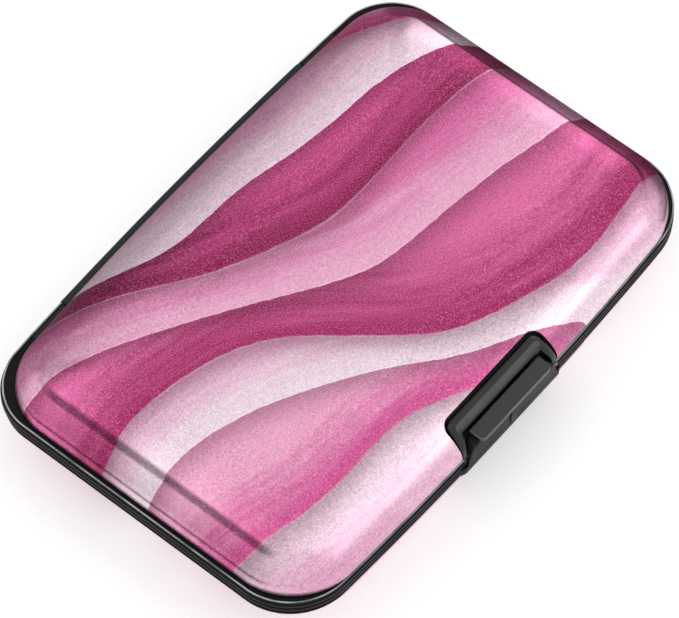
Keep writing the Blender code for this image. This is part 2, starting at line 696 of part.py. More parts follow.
def latch_button():
    """Finger plate on a stem with a hook behind it, turning on the pivot pin."""
    plate = rounded_box(PLATE_LENGTH / 2, -PLATE_OUTER_Y, PLATE_INNER_Y, PLATE_CORNER)
    top = PARTING_Z + PLATE_HEIGHT
    mesh = prism(plate, "Z", top - PLATE_THICKNESS, top)
    obj = add_object("latch_button", mesh, PARTS, FINISH["black_abs"])
    soften = obj.modifiers.new("Soften", "BEVEL")
    soften.width = EDGE_ROUND
    soften.segments = 2
    soften.limit_method = "ANGLE"
    low = LATCH_PIVOT_HEIGHT
    high = PLATE_HEIGHT - PLATE_THICKNESS / 2
    hook_y = STEM_INNER_Y + HOOK_REACH
    section = [
        (STEM_INNER_Y - STEM_THICKNESS, low), (STEM_INNER_Y, low), (STEM_INNER_Y, HOOK_LOW),
        (hook_y, HOOK_LOW), (hook_y, HOOK_LOW + HOOK_HEIGHT * 0.4), (STEM_INNER_Y, HOOK_LOW + HOOK_HEIGHT),
        (STEM_INNER_Y, high), (STEM_INNER_Y - STEM_THICKNESS, high),
    ]
    half = STEM_LENGTH / 2
    combine(obj, "UNION", add_cutter("stem", prism(at_parting(section), "X", -half, half)))
    heel = add_cutter("heel", rod(PIVOT_RADIUS, -half + EDGE_ROUND, half - EDGE_ROUND, PIVOT_Y, low, 16))
    combine(obj, "UNION", heel)
    slot = SPRING_LENGTH / 2 + SPRING_GAP
    reach = FRONT_TRAVEL_GAP + STEM_THICKNESS
    gap_top = LATCH_PIVOT_HEIGHT + PIVOT_RADIUS + SPRING_GAP
    room = [
        (PIVOT_Y - reach, LATCH_PIVOT_HEIGHT - reach), (PIVOT_Y + reach, LATCH_PIVOT_HEIGHT - reach),
        (PIVOT_Y + reach, gap_top), (PIVOT_Y - reach, gap_top),
    ]
    combine(obj, "DIFFERENCE", add_cutter("spring_room", prism(at_parting(room), "X", -slot, slot)))
    reach = half + EDGE_ROUND
    pin_hole = rod(PIVOT_PIN_RADIUS + PIVOT_CLEARANCE, -reach, reach, PIVOT_Y, low, 16)
    combine(obj, "DIFFERENCE", add_cutter("button_bore", pin_hole))
    return obj


def latch_pin():
    reach = STEM_LENGTH / 2 + STEM_SIDE_GAP + PIVOT_PIN_HOLD
    mesh = rod(PIVOT_PIN_RADIUS, -reach, reach, PIVOT_Y, LATCH_PIVOT_HEIGHT, 12)
    return add_object("latch_pin", mesh, PARTS, FINISH["steel"])


def latch_spring():
    """Torsion spring round the pivot pin: a coil with one leg up the stem and one down."""
    radius = PIVOT_PIN_RADIUS + SPRING_BORE_GAP + SPRING_WIRE
    turn_steps = 12
    points = []
    for i in range(SPRING_TURNS * turn_steps + 1):
        angle = math.radians(180) + 2 * math.pi * i / turn_steps
        x = -SPRING_LENGTH / 2 + SPRING_LENGTH * i / (SPRING_TURNS * turn_steps)
        points.append(Vector((x, radius * math.cos(angle), radius * math.sin(angle))))
    up = points[0] + Vector((0.0, 0.0, SPRING_LEG))
    down = points[-1] - Vector((0.0, 0.0, radius + PIVOT_RADIUS - PIVOT_PIN_RADIUS - 2 * SPRING_WIRE))
    points = [up] + points + [down]
    curve = bpy.data.curves.new("latch_spring", "CURVE")
    curve.dimensions = "3D"
    curve.bevel_depth = SPRING_WIRE
    curve.bevel_resolution = 1
    curve.use_fill_caps = True
    spline = curve.splines.new("POLY")
    spline.points.add(len(points) - 1)
    for point, place in zip(spline.points, points):
        point.co = (*place, 1.0)
    obj = bpy.data.objects.new("latch_spring", curve)
    PARTS.objects.link(obj)
    obj.location = (0.0, PIVOT_Y, PARTING_Z + LATCH_PIVOT_HEIGHT)
    curve.materials.append(FINISH["steel"])
    return obj


def leaf_height(index):
    """Height of a pocket leaf's middle above the parting plane, counted from the base."""
    reach = TRAY_FLOOR - STACK_GAP - LEAF_THICKNESS / 2
    return -reach + 2 * reach * index / (LEAF_COUNT - 1)


def leaf_reach(index):
    """Half length, front reach and rear reach. The two outer leaves lie in the trays' curve."""
    if index in (0, LEAF_COUNT - 1):
        return (
            LEAF_HALF_LENGTH - END_LEAF_LENGTH_CUT,
            LEAF_FRONT - END_LEAF_WIDTH_CUT,
            LEAF_REAR - END_LEAF_WIDTH_CUT,
        )
    return LEAF_HALF_LENGTH, LEAF_FRONT, LEAF_REAR


def leaf(index):
    """One pocket leaf, a rounded sheet of clear film."""
    middle = PARTING_Z + leaf_height(index)
    points = rounded_box(*leaf_reach(index), LEAF_CORNER, 3)
    mesh = prism(points, "Z", middle - LEAF_THICKNESS / 2, middle + LEAF_THICKNESS / 2)
    obj = add_object(f"leaf_{index + 1}", mesh, PARTS, FINISH["film"])
    mesh.transform(Matrix.Translation((0.0, -HINGE_Y, -PARTING_Z)))
    obj.parent = HINGE
    return obj


def pleat(index):
    """Film folded inwards between two leaves, round both ends and the hinge side."""
    low = leaf_height(index) + LEAF_THICKNESS / 2 + PLEAT_GAP
    high = leaf_height(index + 1) - LEAF_THICKNESS / 2 - PLEAT_GAP
    middle = (low + high) / 2
    trim = PLEAT_GAP
    low_end, _, low_rear = (reach - trim for reach in leaf_reach(index))
    high_end, _, high_rear = (reach - trim for reach in leaf_reach(index + 1))
    apex_rear = min(low_rear, high_rear) - PLEAT_REAR_DEPTH
    apex_end = min(low_end, high_end) - PLEAT_END_DEPTH
    section = (
        (low_end, low_rear, low), (low_end, low_rear, low + FILM),
        (apex_end + FILM, apex_rear + FILM, middle), (high_end, high_rear, high - FILM),
        (high_end, high_rear, high), (apex_end - FILM, apex_rear - FILM, middle),
    )
    form = bmesh.new()
    stops = [(1, 0.0, False)] + [(1, turn, True) for turn in (0.0, 0.25, 0.5)]
    stops += [(-side, turn, at_rear) for side, turn, at_rear in reversed(stops)]
    layers = []
    for side, turn, at_rear in stops:
        layer = []
        for x, y, z in section:
            along = x - LEAF_CORNER * (1 - math.cos(math.pi * turn))
            across = y - LEAF_CORNER * (1 - math.sin(math.pi * turn)) if at_rear else -PLEAT_FRONT_STOP
            layer.append(form.verts.new((side * along, across - HINGE_Y, z)))
        layers.append(layer)
    count = len(section)
    for first, second in zip(layers, layers[1:]):
        for i in range(count):
            j = (i + 1) % count
            form.faces.new((first[i], first[j], second[j], second[i]))
    form.faces.new(list(reversed(layers[0])))
    form.faces.new(layers[-1])
    bmesh.ops.recalc_face_normals(form, faces=form.faces)
    mesh = bpy.data.meshes.new("pleat")
    form.to_mesh(mesh)
    form.free()
    obj = add_object(f"pleat_{index + 1}", mesh, PARTS, FINISH["film"])
    obj.parent = HINGE
    return obj


def leaf_tape(name, upper):
    """Double-sided tape between a tray's floor and the leaf next to it."""
    sign = 1 if upper else -1
    high = TRAY_FLOOR - TAPE_GAP
    low = abs(leaf_height(0)) + LEAF_THICKNESS / 2 + TAPE_GAP
    ends = sorted((PARTING_Z + sign * low, PARTING_Z + sign * high))
    points = rounded_box(TAPE_LENGTH / 2, TAPE_WIDTH / 2, TAPE_WIDTH / 2, PAD_CORNER, 2)
    return add_object(name, prism(points, "Z", *ends), PARTS, FINISH["tape"])


def cover_pad(name, upper):
    """Foam pad between the tray and the flat of the cover."""
    sign = 1 if upper else -1
    low = TRAY_TOP + PAD_GAP
    high = CASE_THICKNESS / 2 - COVER_THICKNESS - PAD_GAP
    ends = sorted((PARTING_Z + sign * low, PARTING_Z + sign * high))
    points = rounded_box(PAD_LENGTH / 2, PAD_WIDTH / 2, PAD_WIDTH / 2, PAD_CORNER, 2)
    return add_object(name, prism(points, "Z", *ends), PARTS, FINISH["foam"])


def main():
    lower_frame()
    upper_frame()
    cover("lower_cover", False, notch_cutter(False))
    cover("upper_cover", True, notch_cutter(True))
    cover_pad("lower_cover_pad", False)
    cover_pad("upper_cover_pad", True)
    leaf_tape("lower_tape", False)
    leaf_tape("upper_tape", True)
    hinge_pin()
    latch_button()
    latch_pin()
    latch_spring()
    for index in range(LEAF_COUNT):
        leaf(index)
    for index in range(LEAF_COUNT - 1):
        pleat(index)


clear_scene()
PARTS = collection("aluminium_card_holder")
CUTTERS = collection("cutters", hidden=True)
FINISH = {
    "aluminium": material("printed_aluminium", (0.83, 0.52, 0.66), 0.34, 0.85),
    "black_abs": material("black_abs", (0.012, 0.012, 0.013), 0.38),
    "steel": material("steel", (0.62, 0.62, 0.64), 0.3, 1.0),
    "film": material("clear_film", (0.78, 0.80, 0.82), 0.25),
    "tape": material("white_tape", (0.80, 0.79, 0.74), 0.7),
    "foam": material("white_foam", (0.72, 0.72, 0.70), 0.9),
}
HINGE = bpy.data.objects.new("hinge_axis", None)
HINGE.location = (0.0, HINGE_Y, PARTING_Z)
PARTS.objects.link(HINGE)
main()
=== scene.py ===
"""Dressed scene of a hinged aluminium card holder with a sprung front latch.

The classes hold their sizes in millimetres, with heights measured from the parting plane
between the two halves, and a mesh is turned into metres when it is made. X runs along the
case, the latch is on the -Y side and the hinge on the +Y side.
"""

import logging
import math
from dataclasses import asdict, dataclass, fields, replace
from enum import Enum

import bpy
import numpy as np
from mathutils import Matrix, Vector


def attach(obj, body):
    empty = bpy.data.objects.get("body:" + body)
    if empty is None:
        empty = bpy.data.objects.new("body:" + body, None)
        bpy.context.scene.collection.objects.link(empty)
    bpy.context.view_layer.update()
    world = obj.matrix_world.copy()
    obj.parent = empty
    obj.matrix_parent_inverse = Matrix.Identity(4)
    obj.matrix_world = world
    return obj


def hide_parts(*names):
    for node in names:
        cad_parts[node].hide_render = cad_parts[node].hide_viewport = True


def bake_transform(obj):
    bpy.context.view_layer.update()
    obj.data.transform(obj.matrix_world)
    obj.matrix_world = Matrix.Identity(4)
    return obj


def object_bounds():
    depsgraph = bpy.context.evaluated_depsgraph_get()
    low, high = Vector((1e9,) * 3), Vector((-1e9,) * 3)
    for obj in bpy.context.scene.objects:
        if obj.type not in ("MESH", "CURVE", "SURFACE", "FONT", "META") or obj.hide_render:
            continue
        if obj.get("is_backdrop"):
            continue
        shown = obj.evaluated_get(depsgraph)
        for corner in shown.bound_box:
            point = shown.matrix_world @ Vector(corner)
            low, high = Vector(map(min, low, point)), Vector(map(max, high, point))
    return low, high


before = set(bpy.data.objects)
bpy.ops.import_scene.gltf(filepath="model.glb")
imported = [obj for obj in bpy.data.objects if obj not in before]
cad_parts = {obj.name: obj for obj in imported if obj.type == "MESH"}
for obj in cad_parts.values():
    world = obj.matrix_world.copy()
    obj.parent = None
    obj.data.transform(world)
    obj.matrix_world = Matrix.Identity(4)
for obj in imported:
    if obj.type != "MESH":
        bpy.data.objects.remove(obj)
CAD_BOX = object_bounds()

LOG = logging.getLogger("card_holder")
METRES = 0.001
PARTING = 10.0
LEAST_RADIUS = 0.05
QUARTER_TURN = 0.5 * math.pi
FULL_TURN = 2.0 * math.pi
SIDES = ((-1, "left"), (1, "right"))
Triple = tuple[float, float, float]
Colour = Triple
Socket = bpy.types.NodeSocket


class Half(Enum):
    """The two halves of the case, by the side of the parting plane they lie on."""

    LID = 1
    BASE = -1

    @property
    def body(self) -> str:
        """Name of the moving body."""
        return "lid" if self is Half.LID else "base"

    @property
    def label(self) -> str:
        """Word that the half's nodes start with."""
        return "upper" if self is Half.LID else "lower"


# Shapes


def smooth_curve(x: np.ndarray, knots: np.ndarray, values: np.ndarray) -> np.ndarray:
    """Cubic through the knots that never overshoots them.

    Each inner knot's slope is the harmonic mean of the slopes on its two sides, or 0
    where they differ in sign, and the pieces are cubic Hermite curves.

    Args:
        x: Where to read the curve. It is held at the end values outside the knots.
        knots: Rising positions.
        values: Value at each knot.

    Returns:
        The curve's values, in the shape of x.
    """
    x = np.clip(x, knots[0], knots[-1])
    step = np.diff(knots)
    rise = np.diff(values) / step
    pair = rise[:-1] * rise[1:]
    inner = np.where(pair > 0, 2 * pair / np.where(pair > 0, rise[:-1] + rise[1:], 1), 0.0)
    slope = np.concatenate([[rise[0]], inner, [0.0]])
    i = np.clip(np.searchsorted(knots, x, side="right") - 1, 0, len(step) - 1)
    t = (x - knots[i]) / step[i]
    start = (1 + 2 * t) * (1 - t) ** 2 * values[i] + t * (1 - t) ** 2 * step[i] * slope[i]
    end = t * t * (3 - 2 * t) * values[i + 1] + t * t * (t - 1) * step[i] * slope[i + 1]
    return start + end


def ease(t: np.ndarray) -> np.ndarray:
    """Smooth step from 0 to 1 of a share that is held between them."""
    t = np.clip(t, 0.0, 1.0)
    return t * t * (3 - 2 * t)


def between(start: float, end: float, count: int) -> np.ndarray:
    """Evenly spaced values strictly between two ends."""
    return np.linspace(start, end, count + 2)[1:-1]


def quarter(steps: int) -> np.ndarray:
    """Evenly spaced angles over a quarter turn, both ends included."""
    return np.linspace(0, QUARTER_TURN, steps)


def add_object(name: str, data: bpy.types.ID) -> bpy.types.Object:
    """Puts a new object in the scene.

    Args:
        name: Its name.
        data: The mesh, light or camera that it holds.

    Returns:
        The object, at the origin.
    """
    obj = bpy.data.objects.new(name, data)
    bpy.context.scene.collection.objects.link(obj)
    return obj


@dataclass
class Shape:
    """Points and faces of a mesh in millimetres, before it becomes an object.

    Attributes:
        points: Array of (x, y, height).
        faces: Lists of point numbers.
    """

    points: np.ndarray
    faces: list[list[int]]

    @staticmethod
    def loft(rings: np.ndarray, joined: bool = False) -> "Shape":
        """Closed surface through closed rings of equal count.

        Point (i, j) of the surface is point j of ring i, and each face joins two
        neighbours along the ring with the same two on the next ring.

        Args:
            rings: Array of (ring, point, xyz).
            joined: Whether the last ring meets the first. Otherwise both are filled.

        Returns:
            The shape.
        """
        count, size = rings.shape[:2]
        index = np.arange(count * size).reshape(count, size)
        upper = np.roll(index, -1, axis=0) if joined else index[1:]
        lower = index if joined else index[:-1]
        corners = [lower, np.roll(lower, -1, axis=1), np.roll(upper, -1, axis=1), upper]
        faces = np.stack(corners, axis=-1).reshape(-1, 4).tolist()
        if not joined:
            faces.append(index[0][::-1].tolist())
            faces.append(index[-1].tolist())
        return Shape(rings.reshape(-1, 3), faces)

    def make(self, name: str, half: Half = Half.LID, sharp: float = 32.0) -> bpy.types.Object:
        """Turns the shape into an object whose faces point outwards.

        Args:
            name: The object's name.
            half: The half whose side of the parting plane heights count towards.
            sharp: Angle in degrees past which an edge is kept hard.

        Returns:
            The object, at the origin, with its place in its mesh.
        """
        points = self.points * (1.0, 1.0, half.value) + (0.0, 0.0, PARTING)
        mesh = bpy.data.meshes.new(name)
        mesh.from_pydata((points * METRES).tolist(), [], self.faces)
        mesh.validate()
        mesh.update()
        corners = np.empty(len(mesh.vertices) * 3)
        mesh.vertices.foreach_get("co", corners)
        corners = corners.reshape(-1, 3)
        mesh.calc_loop_triangles()
        triangles = np.empty(len(mesh.loop_triangles) * 3, dtype=np.int32)
        mesh.loop_triangles.foreach_get("vertices", triangles)
        a, b, c = np.moveaxis(corners[triangles.reshape(-1, 3)], 1, 0)
        if np.einsum("ij,ij->", a, np.cross(b, c)) < 0:
            mesh.flip_normals()
        obj = add_object(name, mesh)
        smooth(obj, sharp)
        return obj


def smooth(obj: bpy.types.Object, sharp: float) -> None:
    """Shades a mesh smooth, with edges past an angle kept hard.

    Args:
        obj: The mesh object.
        sharp: The angle in degrees.
    """
    obj.data.shade_smooth()
    obj.data.set_sharp_from_angle(angle=math.radians(sharp))


def carve(obj: bpy.types.Object, cutters: list[bpy.types.Object], sharp: float = 32.0) -> None:
    """Cuts shapes out of an object and removes the cutters.

    Args:
        obj: The object that is cut.
        cutters: Closed shapes.
        sharp: Angle in degrees past which an edge is kept hard.
    """
    for cutter in cutters:
        modifier = obj.modifiers.new(cutter.name, "BOOLEAN")
        modifier.operation = "DIFFERENCE"
        modifier.solver = "EXACT"
        modifier.object = cutter
    bpy.context.view_layer.update()
    graph = bpy.context.evaluated_depsgraph_get()
    mesh = bpy.data.meshes.new_from_object(obj.evaluated_get(graph))
    obj.modifiers.clear()
    obj.data = mesh
    mesh.name = obj.name
    for cutter in cutters:
        bpy.data.objects.remove(cutter, do_unlink=True)
    smooth(obj, sharp)


def prism(outline: np.ndarray, axis: int, start: float, end: float) -> Shape:
    """Solid with a flat outline, carried along one axis.

    Args:
        outline: Array of points in the plane of the other two axes, in their order.
        axis: 0, 1 or 2 for X, Y or height.
        start: Where it starts on that axis.
        end: Where it ends.

    Returns:
        The closed shape.
    """
    rings = [np.insert(outline, axis, value, axis=1) for value in (start, end)]
    return Shape.loft(np.stack(rings))


def box_section(low_y: float, high_y: float, low: float, high: float) -> np.ndarray:
    """Rectangle across X, as an array of (y, height)."""
    return np.array([(low_y, low), (high_y, low), (high_y, high), (low_y, high)])


def rod(radius: float, start: float, end: float, y: float, height: float) -> Shape:
    """Cylinder along X: a circle about (y, height) carried from start to end.

    Args:
        radius: Its radius.
        start: X of one end.
        end: X of the other end.
        y: Y of its middle line.
        height: Height of its middle line.

    Returns:
        The closed shape, with 48 sides.
    """
    angle = np.linspace(0, FULL_TURN, 48, endpoint=False)
    circle = np.stack([y + radius * np.cos(angle), height + radius * np.sin(angle)], axis=1)
    return prism(circle, 0, start, end)


def rounded_rectangle(
    half_x: float, low_y: float, high_y: float, radius: float, rear: float | None = None
) -> np.ndarray:
    """Plan of a rectangle about X = 0, with quarter circles of 12 steps for corners.

    Args:
        half_x: Half its length.
        low_y: Its lowest Y.
        high_y: Its highest Y.
        radius: Corner radius.
        rear: Radius of the corners at the highest Y, if they differ.

    Returns:
        Array of (x, y), anticlockwise from the lower left corner.
    """
    parts = []
    for number, (side, y) in enumerate(((-1, low_y), (1, low_y), (1, high_y), (-1, high_y))):
        angle = quarter(13) + math.pi + number * QUARTER_TURN
        r = radius if number < 2 or rear is None else rear
        centre = (side * (half_x - r), y + (r if number < 2 else -r))
        parts.append(np.stack([centre[0] + r * np.cos(angle), centre[1] + r * np.sin(angle)], 1))
    return np.concatenate(parts)


def rounded_slab(
    half_x: float,
    low_y: float,
    high_y: float,
    radius: float,
    low: float,
    high: float,
    edge: float,
    rear: float | None = None,
) -> Shape:
    """Flat plate with rounded corners and rounded upper and lower edges.

    Its rings are the plan moved inwards by edge * (1 - sin a) at a height edge * (1 - cos a)
    from the face, as a goes over a quarter turn.

    Args:
        half_x: Half its length.
        low_y: Its lowest Y.
        high_y: Its highest Y.
        radius: Corner radius in plan.
        low: Height of its underside.
        high: Height of its top.
        edge: Radius of its edges.
        rear: Radius of the corners at the highest Y, if they differ.

    Returns:
        The closed shape.
    """
    rings = []
    back = radius if rear is None else rear
    for face, away, turns in ((low, 1, quarter(5)), (high, -1, quarter(5)[::-1])):
        for turn in turns:
            inset = edge * (1 - math.sin(turn))
            radii = (max(value - inset, LEAST_RADIUS) for value in (radius, back))
            plan = rounded_rectangle(half_x - inset, low_y + inset, high_y - inset, *radii)
            height = face + away * edge * (1 - math.cos(turn))
            rings.append(np.insert(plan, 2, height, axis=1))
    return Shape.loft(np.stack(rings))


@dataclass(frozen=True)
class Outline:
    """Rounded rectangle whose long sides bow outwards.

    Attributes:
        half_length: Half its length along X.
        front: Its reach towards -Y at the middle.
        rear: Its reach towards +Y at the middle.
        front_corner: Radius of the front corners.
        rear_corner: Radius of the rear corners.
        bow: How far a long side's middle stands out past its ends.
        least_corner: Smallest corner radius once it is moved inwards.
        corner_steps: Steps to a corner.
        long_steps: Points to a long side, between the corners.
        short_steps: Points to a short end, between the corners.
    """

    half_length: float
    front: float
    rear: float
    front_corner: float
    rear_corner: float
    bow: float = 1.7
    least_corner: float = 0.0
    corner_steps: int = 36
    long_steps: int = 120
    short_steps: int = 44

    def rings(self, insets: np.ndarray) -> tuple[np.ndarray, np.ndarray]:
        """Copies of the outline, each moved inwards by an inset.

        A long side is a parabola of sagitta bow. A corner is an arc that starts along
        the long side's slope and is stretched along X so that it ends on the short end.

        Args:
            insets: Distance in from the outline, one for each ring.

        Returns:
            Plan points (ring, point, xy), anticlockwise, and each point's share of the
            short end's profile: 1 on a short end, 0 on a long side.
        """
        inset = np.asarray(insets, dtype=float)[:, None]
        half = self.half_length - inset
        parts: list[np.ndarray] = []
        shares: list[np.ndarray] = []

        def corner(face: int, turn: int, share: np.ndarray) -> None:
            """Adds a corner.

            Args:
                face: -1 in front and 1 behind.
                turn: -1 on the left and 1 on the right.
                share: How far round each point is, from 0 at the long side to 1.
            """
            radius, _, centre_x, centre_y, slope = self._corner(face, inset, half)
            angle = (QUARTER_TURN - slope) * (1 - share)
            stretch = half / (centre_x + radius) - 1
            x = (centre_x + radius * np.cos(angle)) * (1 + stretch * share)
            y = centre_y + radius * np.sin(angle)
            parts.append(np.stack([turn * x, face * y], axis=-1))
            shares.append(ease(share))

        def long_side(face: int, turn: int) -> None:
            """Adds a long side.

            Args:
                face: -1 in front and 1 behind.
                turn: -1 where it runs to the left and 1 to the right.
            """
            start = self._corner(face, inset, half)[1]
            reach = (self.front if face < 0 else self.rear) - inset
            x = turn * start * between(-1, 1, self.long_steps)
            parts.append(np.stack([x, face * (reach - self.bow * (x / half) ** 2)], axis=-1))
            shares.append(np.zeros(self.long_steps))

        def short_end(turn: int) -> None:
            """Adds a short end, which runs rearwards on the right and forwards on the left.

            Args:
                turn: -1 on the left and 1 on the right.
            """
            low = -self._corner(-1, inset, half)[3]
            high = self._corner(1, inset, half)[3]
            share = between(0, 1, self.short_steps)
            share = share if turn > 0 else share[::-1]
            parts.append(np.stack([turn * half + 0 * share, low + (high - low) * share], axis=-1))
            shares.append(np.ones(self.short_steps))

        out = np.linspace(0, 1, self.corner_steps + 1)
        corner(-1, -1, out[::-1])
        long_side(-1, 1)
        corner(-1, 1, out)
        short_end(1)
        corner(1, 1, out[::-1])
        long_side(1, -1)
        corner(1, -1, out)
        short_end(-1)
        return np.concatenate(parts, axis=1), np.concatenate(shares)

    def _corner(self, face: int, inset: np.ndarray, half: np.ndarray) -> tuple[np.ndarray, ...]:
        """Works out the corners of one long side.

        Args:
            face: -1 in front and 1 behind.
            inset: Distance in from the outline.
            half: Half the length there.

        Returns:
            Their radius, the X where they start, the X and Y of their centre, and the
            slope that they start with.
        """
        reach = (self.front if face < 0 else self.rear) - inset
        wanted = (self.front_corner if face < 0 else self.rear_corner) - inset
        radius = np.maximum(wanted, self.least_corner)
        start = half - radius
        slope = np.arctan(2 * self.bow * start / half**2)
        side = reach - self.bow * (start / half) ** 2
        return radius, start, start - radius * np.sin(slope), side - radius * np.cos(slope), slope


# Finishes


def linear(red: int, green: int, blue: int) -> Colour:
    """Display colour as the linear values that a shader takes.

    Args:
        red: Its red, 0 to 255.
        green: Its green.
        blue: Its blue.

    Returns:
        The colour, each value from 0 to 1.
    """
    shares = np.array([red, green, blue]) / 255
    values = np.where(shares <= 0.04045, shares / 12.92, ((shares + 0.055) / 1.055) ** 2.4)
    return (float(values[0]), float(values[1]), float(values[2]))


class Nodes:
    """A node tree with short calls for the nodes that the finishes use."""

    def __init__(self, tree: bpy.types.NodeTree) -> None:
        """Wraps a tree.

        Args:
            tree: The node tree of a material or of a group.
        """
        self.tree = tree

    def add(self, kind: str, **settings: object) -> bpy.types.Node:
        """Adds a node.

        Args:
            kind: The node's type.
            settings: Properties of the node.

        Returns:
            The node.
        """
        node = self.tree.nodes.new(kind)
        for name, value in settings.items():
            setattr(node, name, value)
        return node

    def feed(self, socket: Socket, value: object) -> None:
        """Links another socket to an input, or sets the input's own value.

        Args:
            socket: The input.
            value: A socket, a number, or a colour or vector as a tuple.
        """
        if isinstance(value, bpy.types.NodeSocket):
            self.tree.links.new(value, socket)
        elif isinstance(value, tuple) and socket.type == "RGBA":
            socket.default_value = (*value, 1.0)[:4]
        else:
            socket.default_value = value

    def math(self, operation: str, *values: object, clamp: bool = False) -> Socket:
        """One sum.

        Args:
            operation: Which sum it is.
            values: Its values in order, as sockets or numbers.
            clamp: Whether the result is held from 0 to 1.

        Returns:
            The result.
        """
        node = self.add("ShaderNodeMath", operation=operation, use_clamp=clamp)
        for socket, value in zip(node.inputs, values):
            self.feed(socket, value)
        return node.outputs[0]

    def ramp(
        self, value: object, low: object, high: object, start: float = 0.0, end: float = 1.0
    ) -> Socket:
        """Smooth step of a value.

        Args:
            value: The value.
            low: Where the step starts.
            high: Where it ends.
            start: Result up to the start.
            end: Result from the end on.

        Returns:
            The result.
        """
        node = self.add("ShaderNodeMapRange", interpolation_type="SMOOTHSTEP")
        for socket, given in zip(node.inputs[:5], (value, low, high, start, end)):
            self.feed(socket, given)
        return node.outputs[0]

    def mix(self, share: object, first: object, second: object, blend: str = "MIX") -> Socket:
        """Mix of two colours.

        Args:
            share: Share of the second colour.
            first: The first colour.
            second: The second colour.
            blend: How they are mixed.

        Returns:
            The colour.
        """
        node = self.add("ShaderNodeMix", data_type="RGBA", blend_type=blend)
        for number, value in ((0, share), (6, first), (7, second)):
            self.feed(node.inputs[number], value)
        return node.outputs[2]

    def noise(self, vector: object, scale: object, detail: float = 2.0, rough: float = 0.5) -> Socket:
        """Even noise.

        Args:
            vector: Where it is read.
            scale: Cells to a unit of length.
            detail: Number of finer layers.
            rough: Strength of each finer layer.

        Returns:
            A value from 0 to 1.
        """
        node = self.add("ShaderNodeTexNoise")
        given = {"Vector": vector, "Scale": scale, "Detail": detail, "Roughness": rough}
        for name, value in given.items():
            self.feed(node.inputs[name], value)
        return node.outputs["Fac"]

    def stretch(self, vector: object, scale: Triple, turn: float = 0.0) -> Socket:
        """Changes a vector.

        Args:
            vector: The vector.
            scale: Its scale along each axis.
            turn: Angle that it is turned by about Z.

        Returns:
            The vector, scaled and then turned.
        """
        node = self.add("ShaderNodeMapping")
        self.feed(node.inputs["Vector"], vector)
        node.inputs["Rotation"].default_value = (0.0, 0.0, turn)
        node.inputs["Scale"].default_value = scale
        return node.outputs[0]

    def split(self, vector: object) -> tuple[Socket, ...]:
        """Splits a vector.

        Args:
            vector: The vector.

        Returns:
            Its X, Y and Z.
        """
        node = self.add("ShaderNodeSeparateXYZ")
        self.feed(node.inputs[0], vector)
        return tuple(node.outputs)

    def group(self, tree: bpy.types.NodeTree, **values: object) -> bpy.types.Node:
        """Places a node group.

        Args:
            tree: The group.
            values: What its inputs take, by their names in small letters.

        Returns:
            The group's node.
        """
        node = self.add("ShaderNodeGroup", node_tree=tree)
        for name, value in values.items():
            self.feed(node.inputs[name.capitalize()], value)
        return node


def new_material(name: str) -> tuple[bpy.types.Material, Nodes, bpy.types.Node]:
    """Starts a material.

    Args:
        name: Its name.

    Returns:
        The material, its nodes and its shader.
    """
    material = bpy.data.materials.new(name)
    material.use_nodes = True
    return material, Nodes(material.node_tree), material.node_tree.nodes["Principled BSDF"]


def new_group(
    name: str, inputs: dict[str, str], outputs: dict[str, str]
) -> tuple[Nodes, Socket, Socket]:
    """Starts a node group.

    Args:
        name: The group's name.
        inputs: Kind of each input socket by its name, such as Float.
        outputs: Kind of each output socket by its name.

    Returns:
        The group's nodes, and the outputs of its input node and inputs of its output node.
    """
    tree = bpy.data.node_groups.new(name, "ShaderNodeTree")
    for side, sockets in (("INPUT", inputs), ("OUTPUT", outputs)):
        for label, kind in sockets.items():
            tree.interface.new_socket(label, in_out=side, socket_type="NodeSocket" + kind)
    nodes = Nodes(tree)
    return nodes, nodes.add("NodeGroupInput").outputs, nodes.add("NodeGroupOutput").inputs


@dataclass(frozen=True)
class Ribbon:
    """One ribbon of the print. Lengths are in millimetres.

    Attributes:
        offset: Mean distance of its edge across the ribbons.
        near: Colour at its edge.
        far: Colour away from its edge.
        swing: How far the edge waves to each side.
        length: Length of a wave over a full turn, divided by that turn.
        phase: Where the wave starts.
        width: Distance over which the colour changes.
        streak: Strength of the streaks.
        rim: Strength of the pale line at the edge.
        shade: Strength of the shade under the edge.
    """

    offset: float
    near: Colour
    far: Colour
    swing: float
    length: float
    phase: float
    width: float
    streak: float
    rim: float
    shade: float


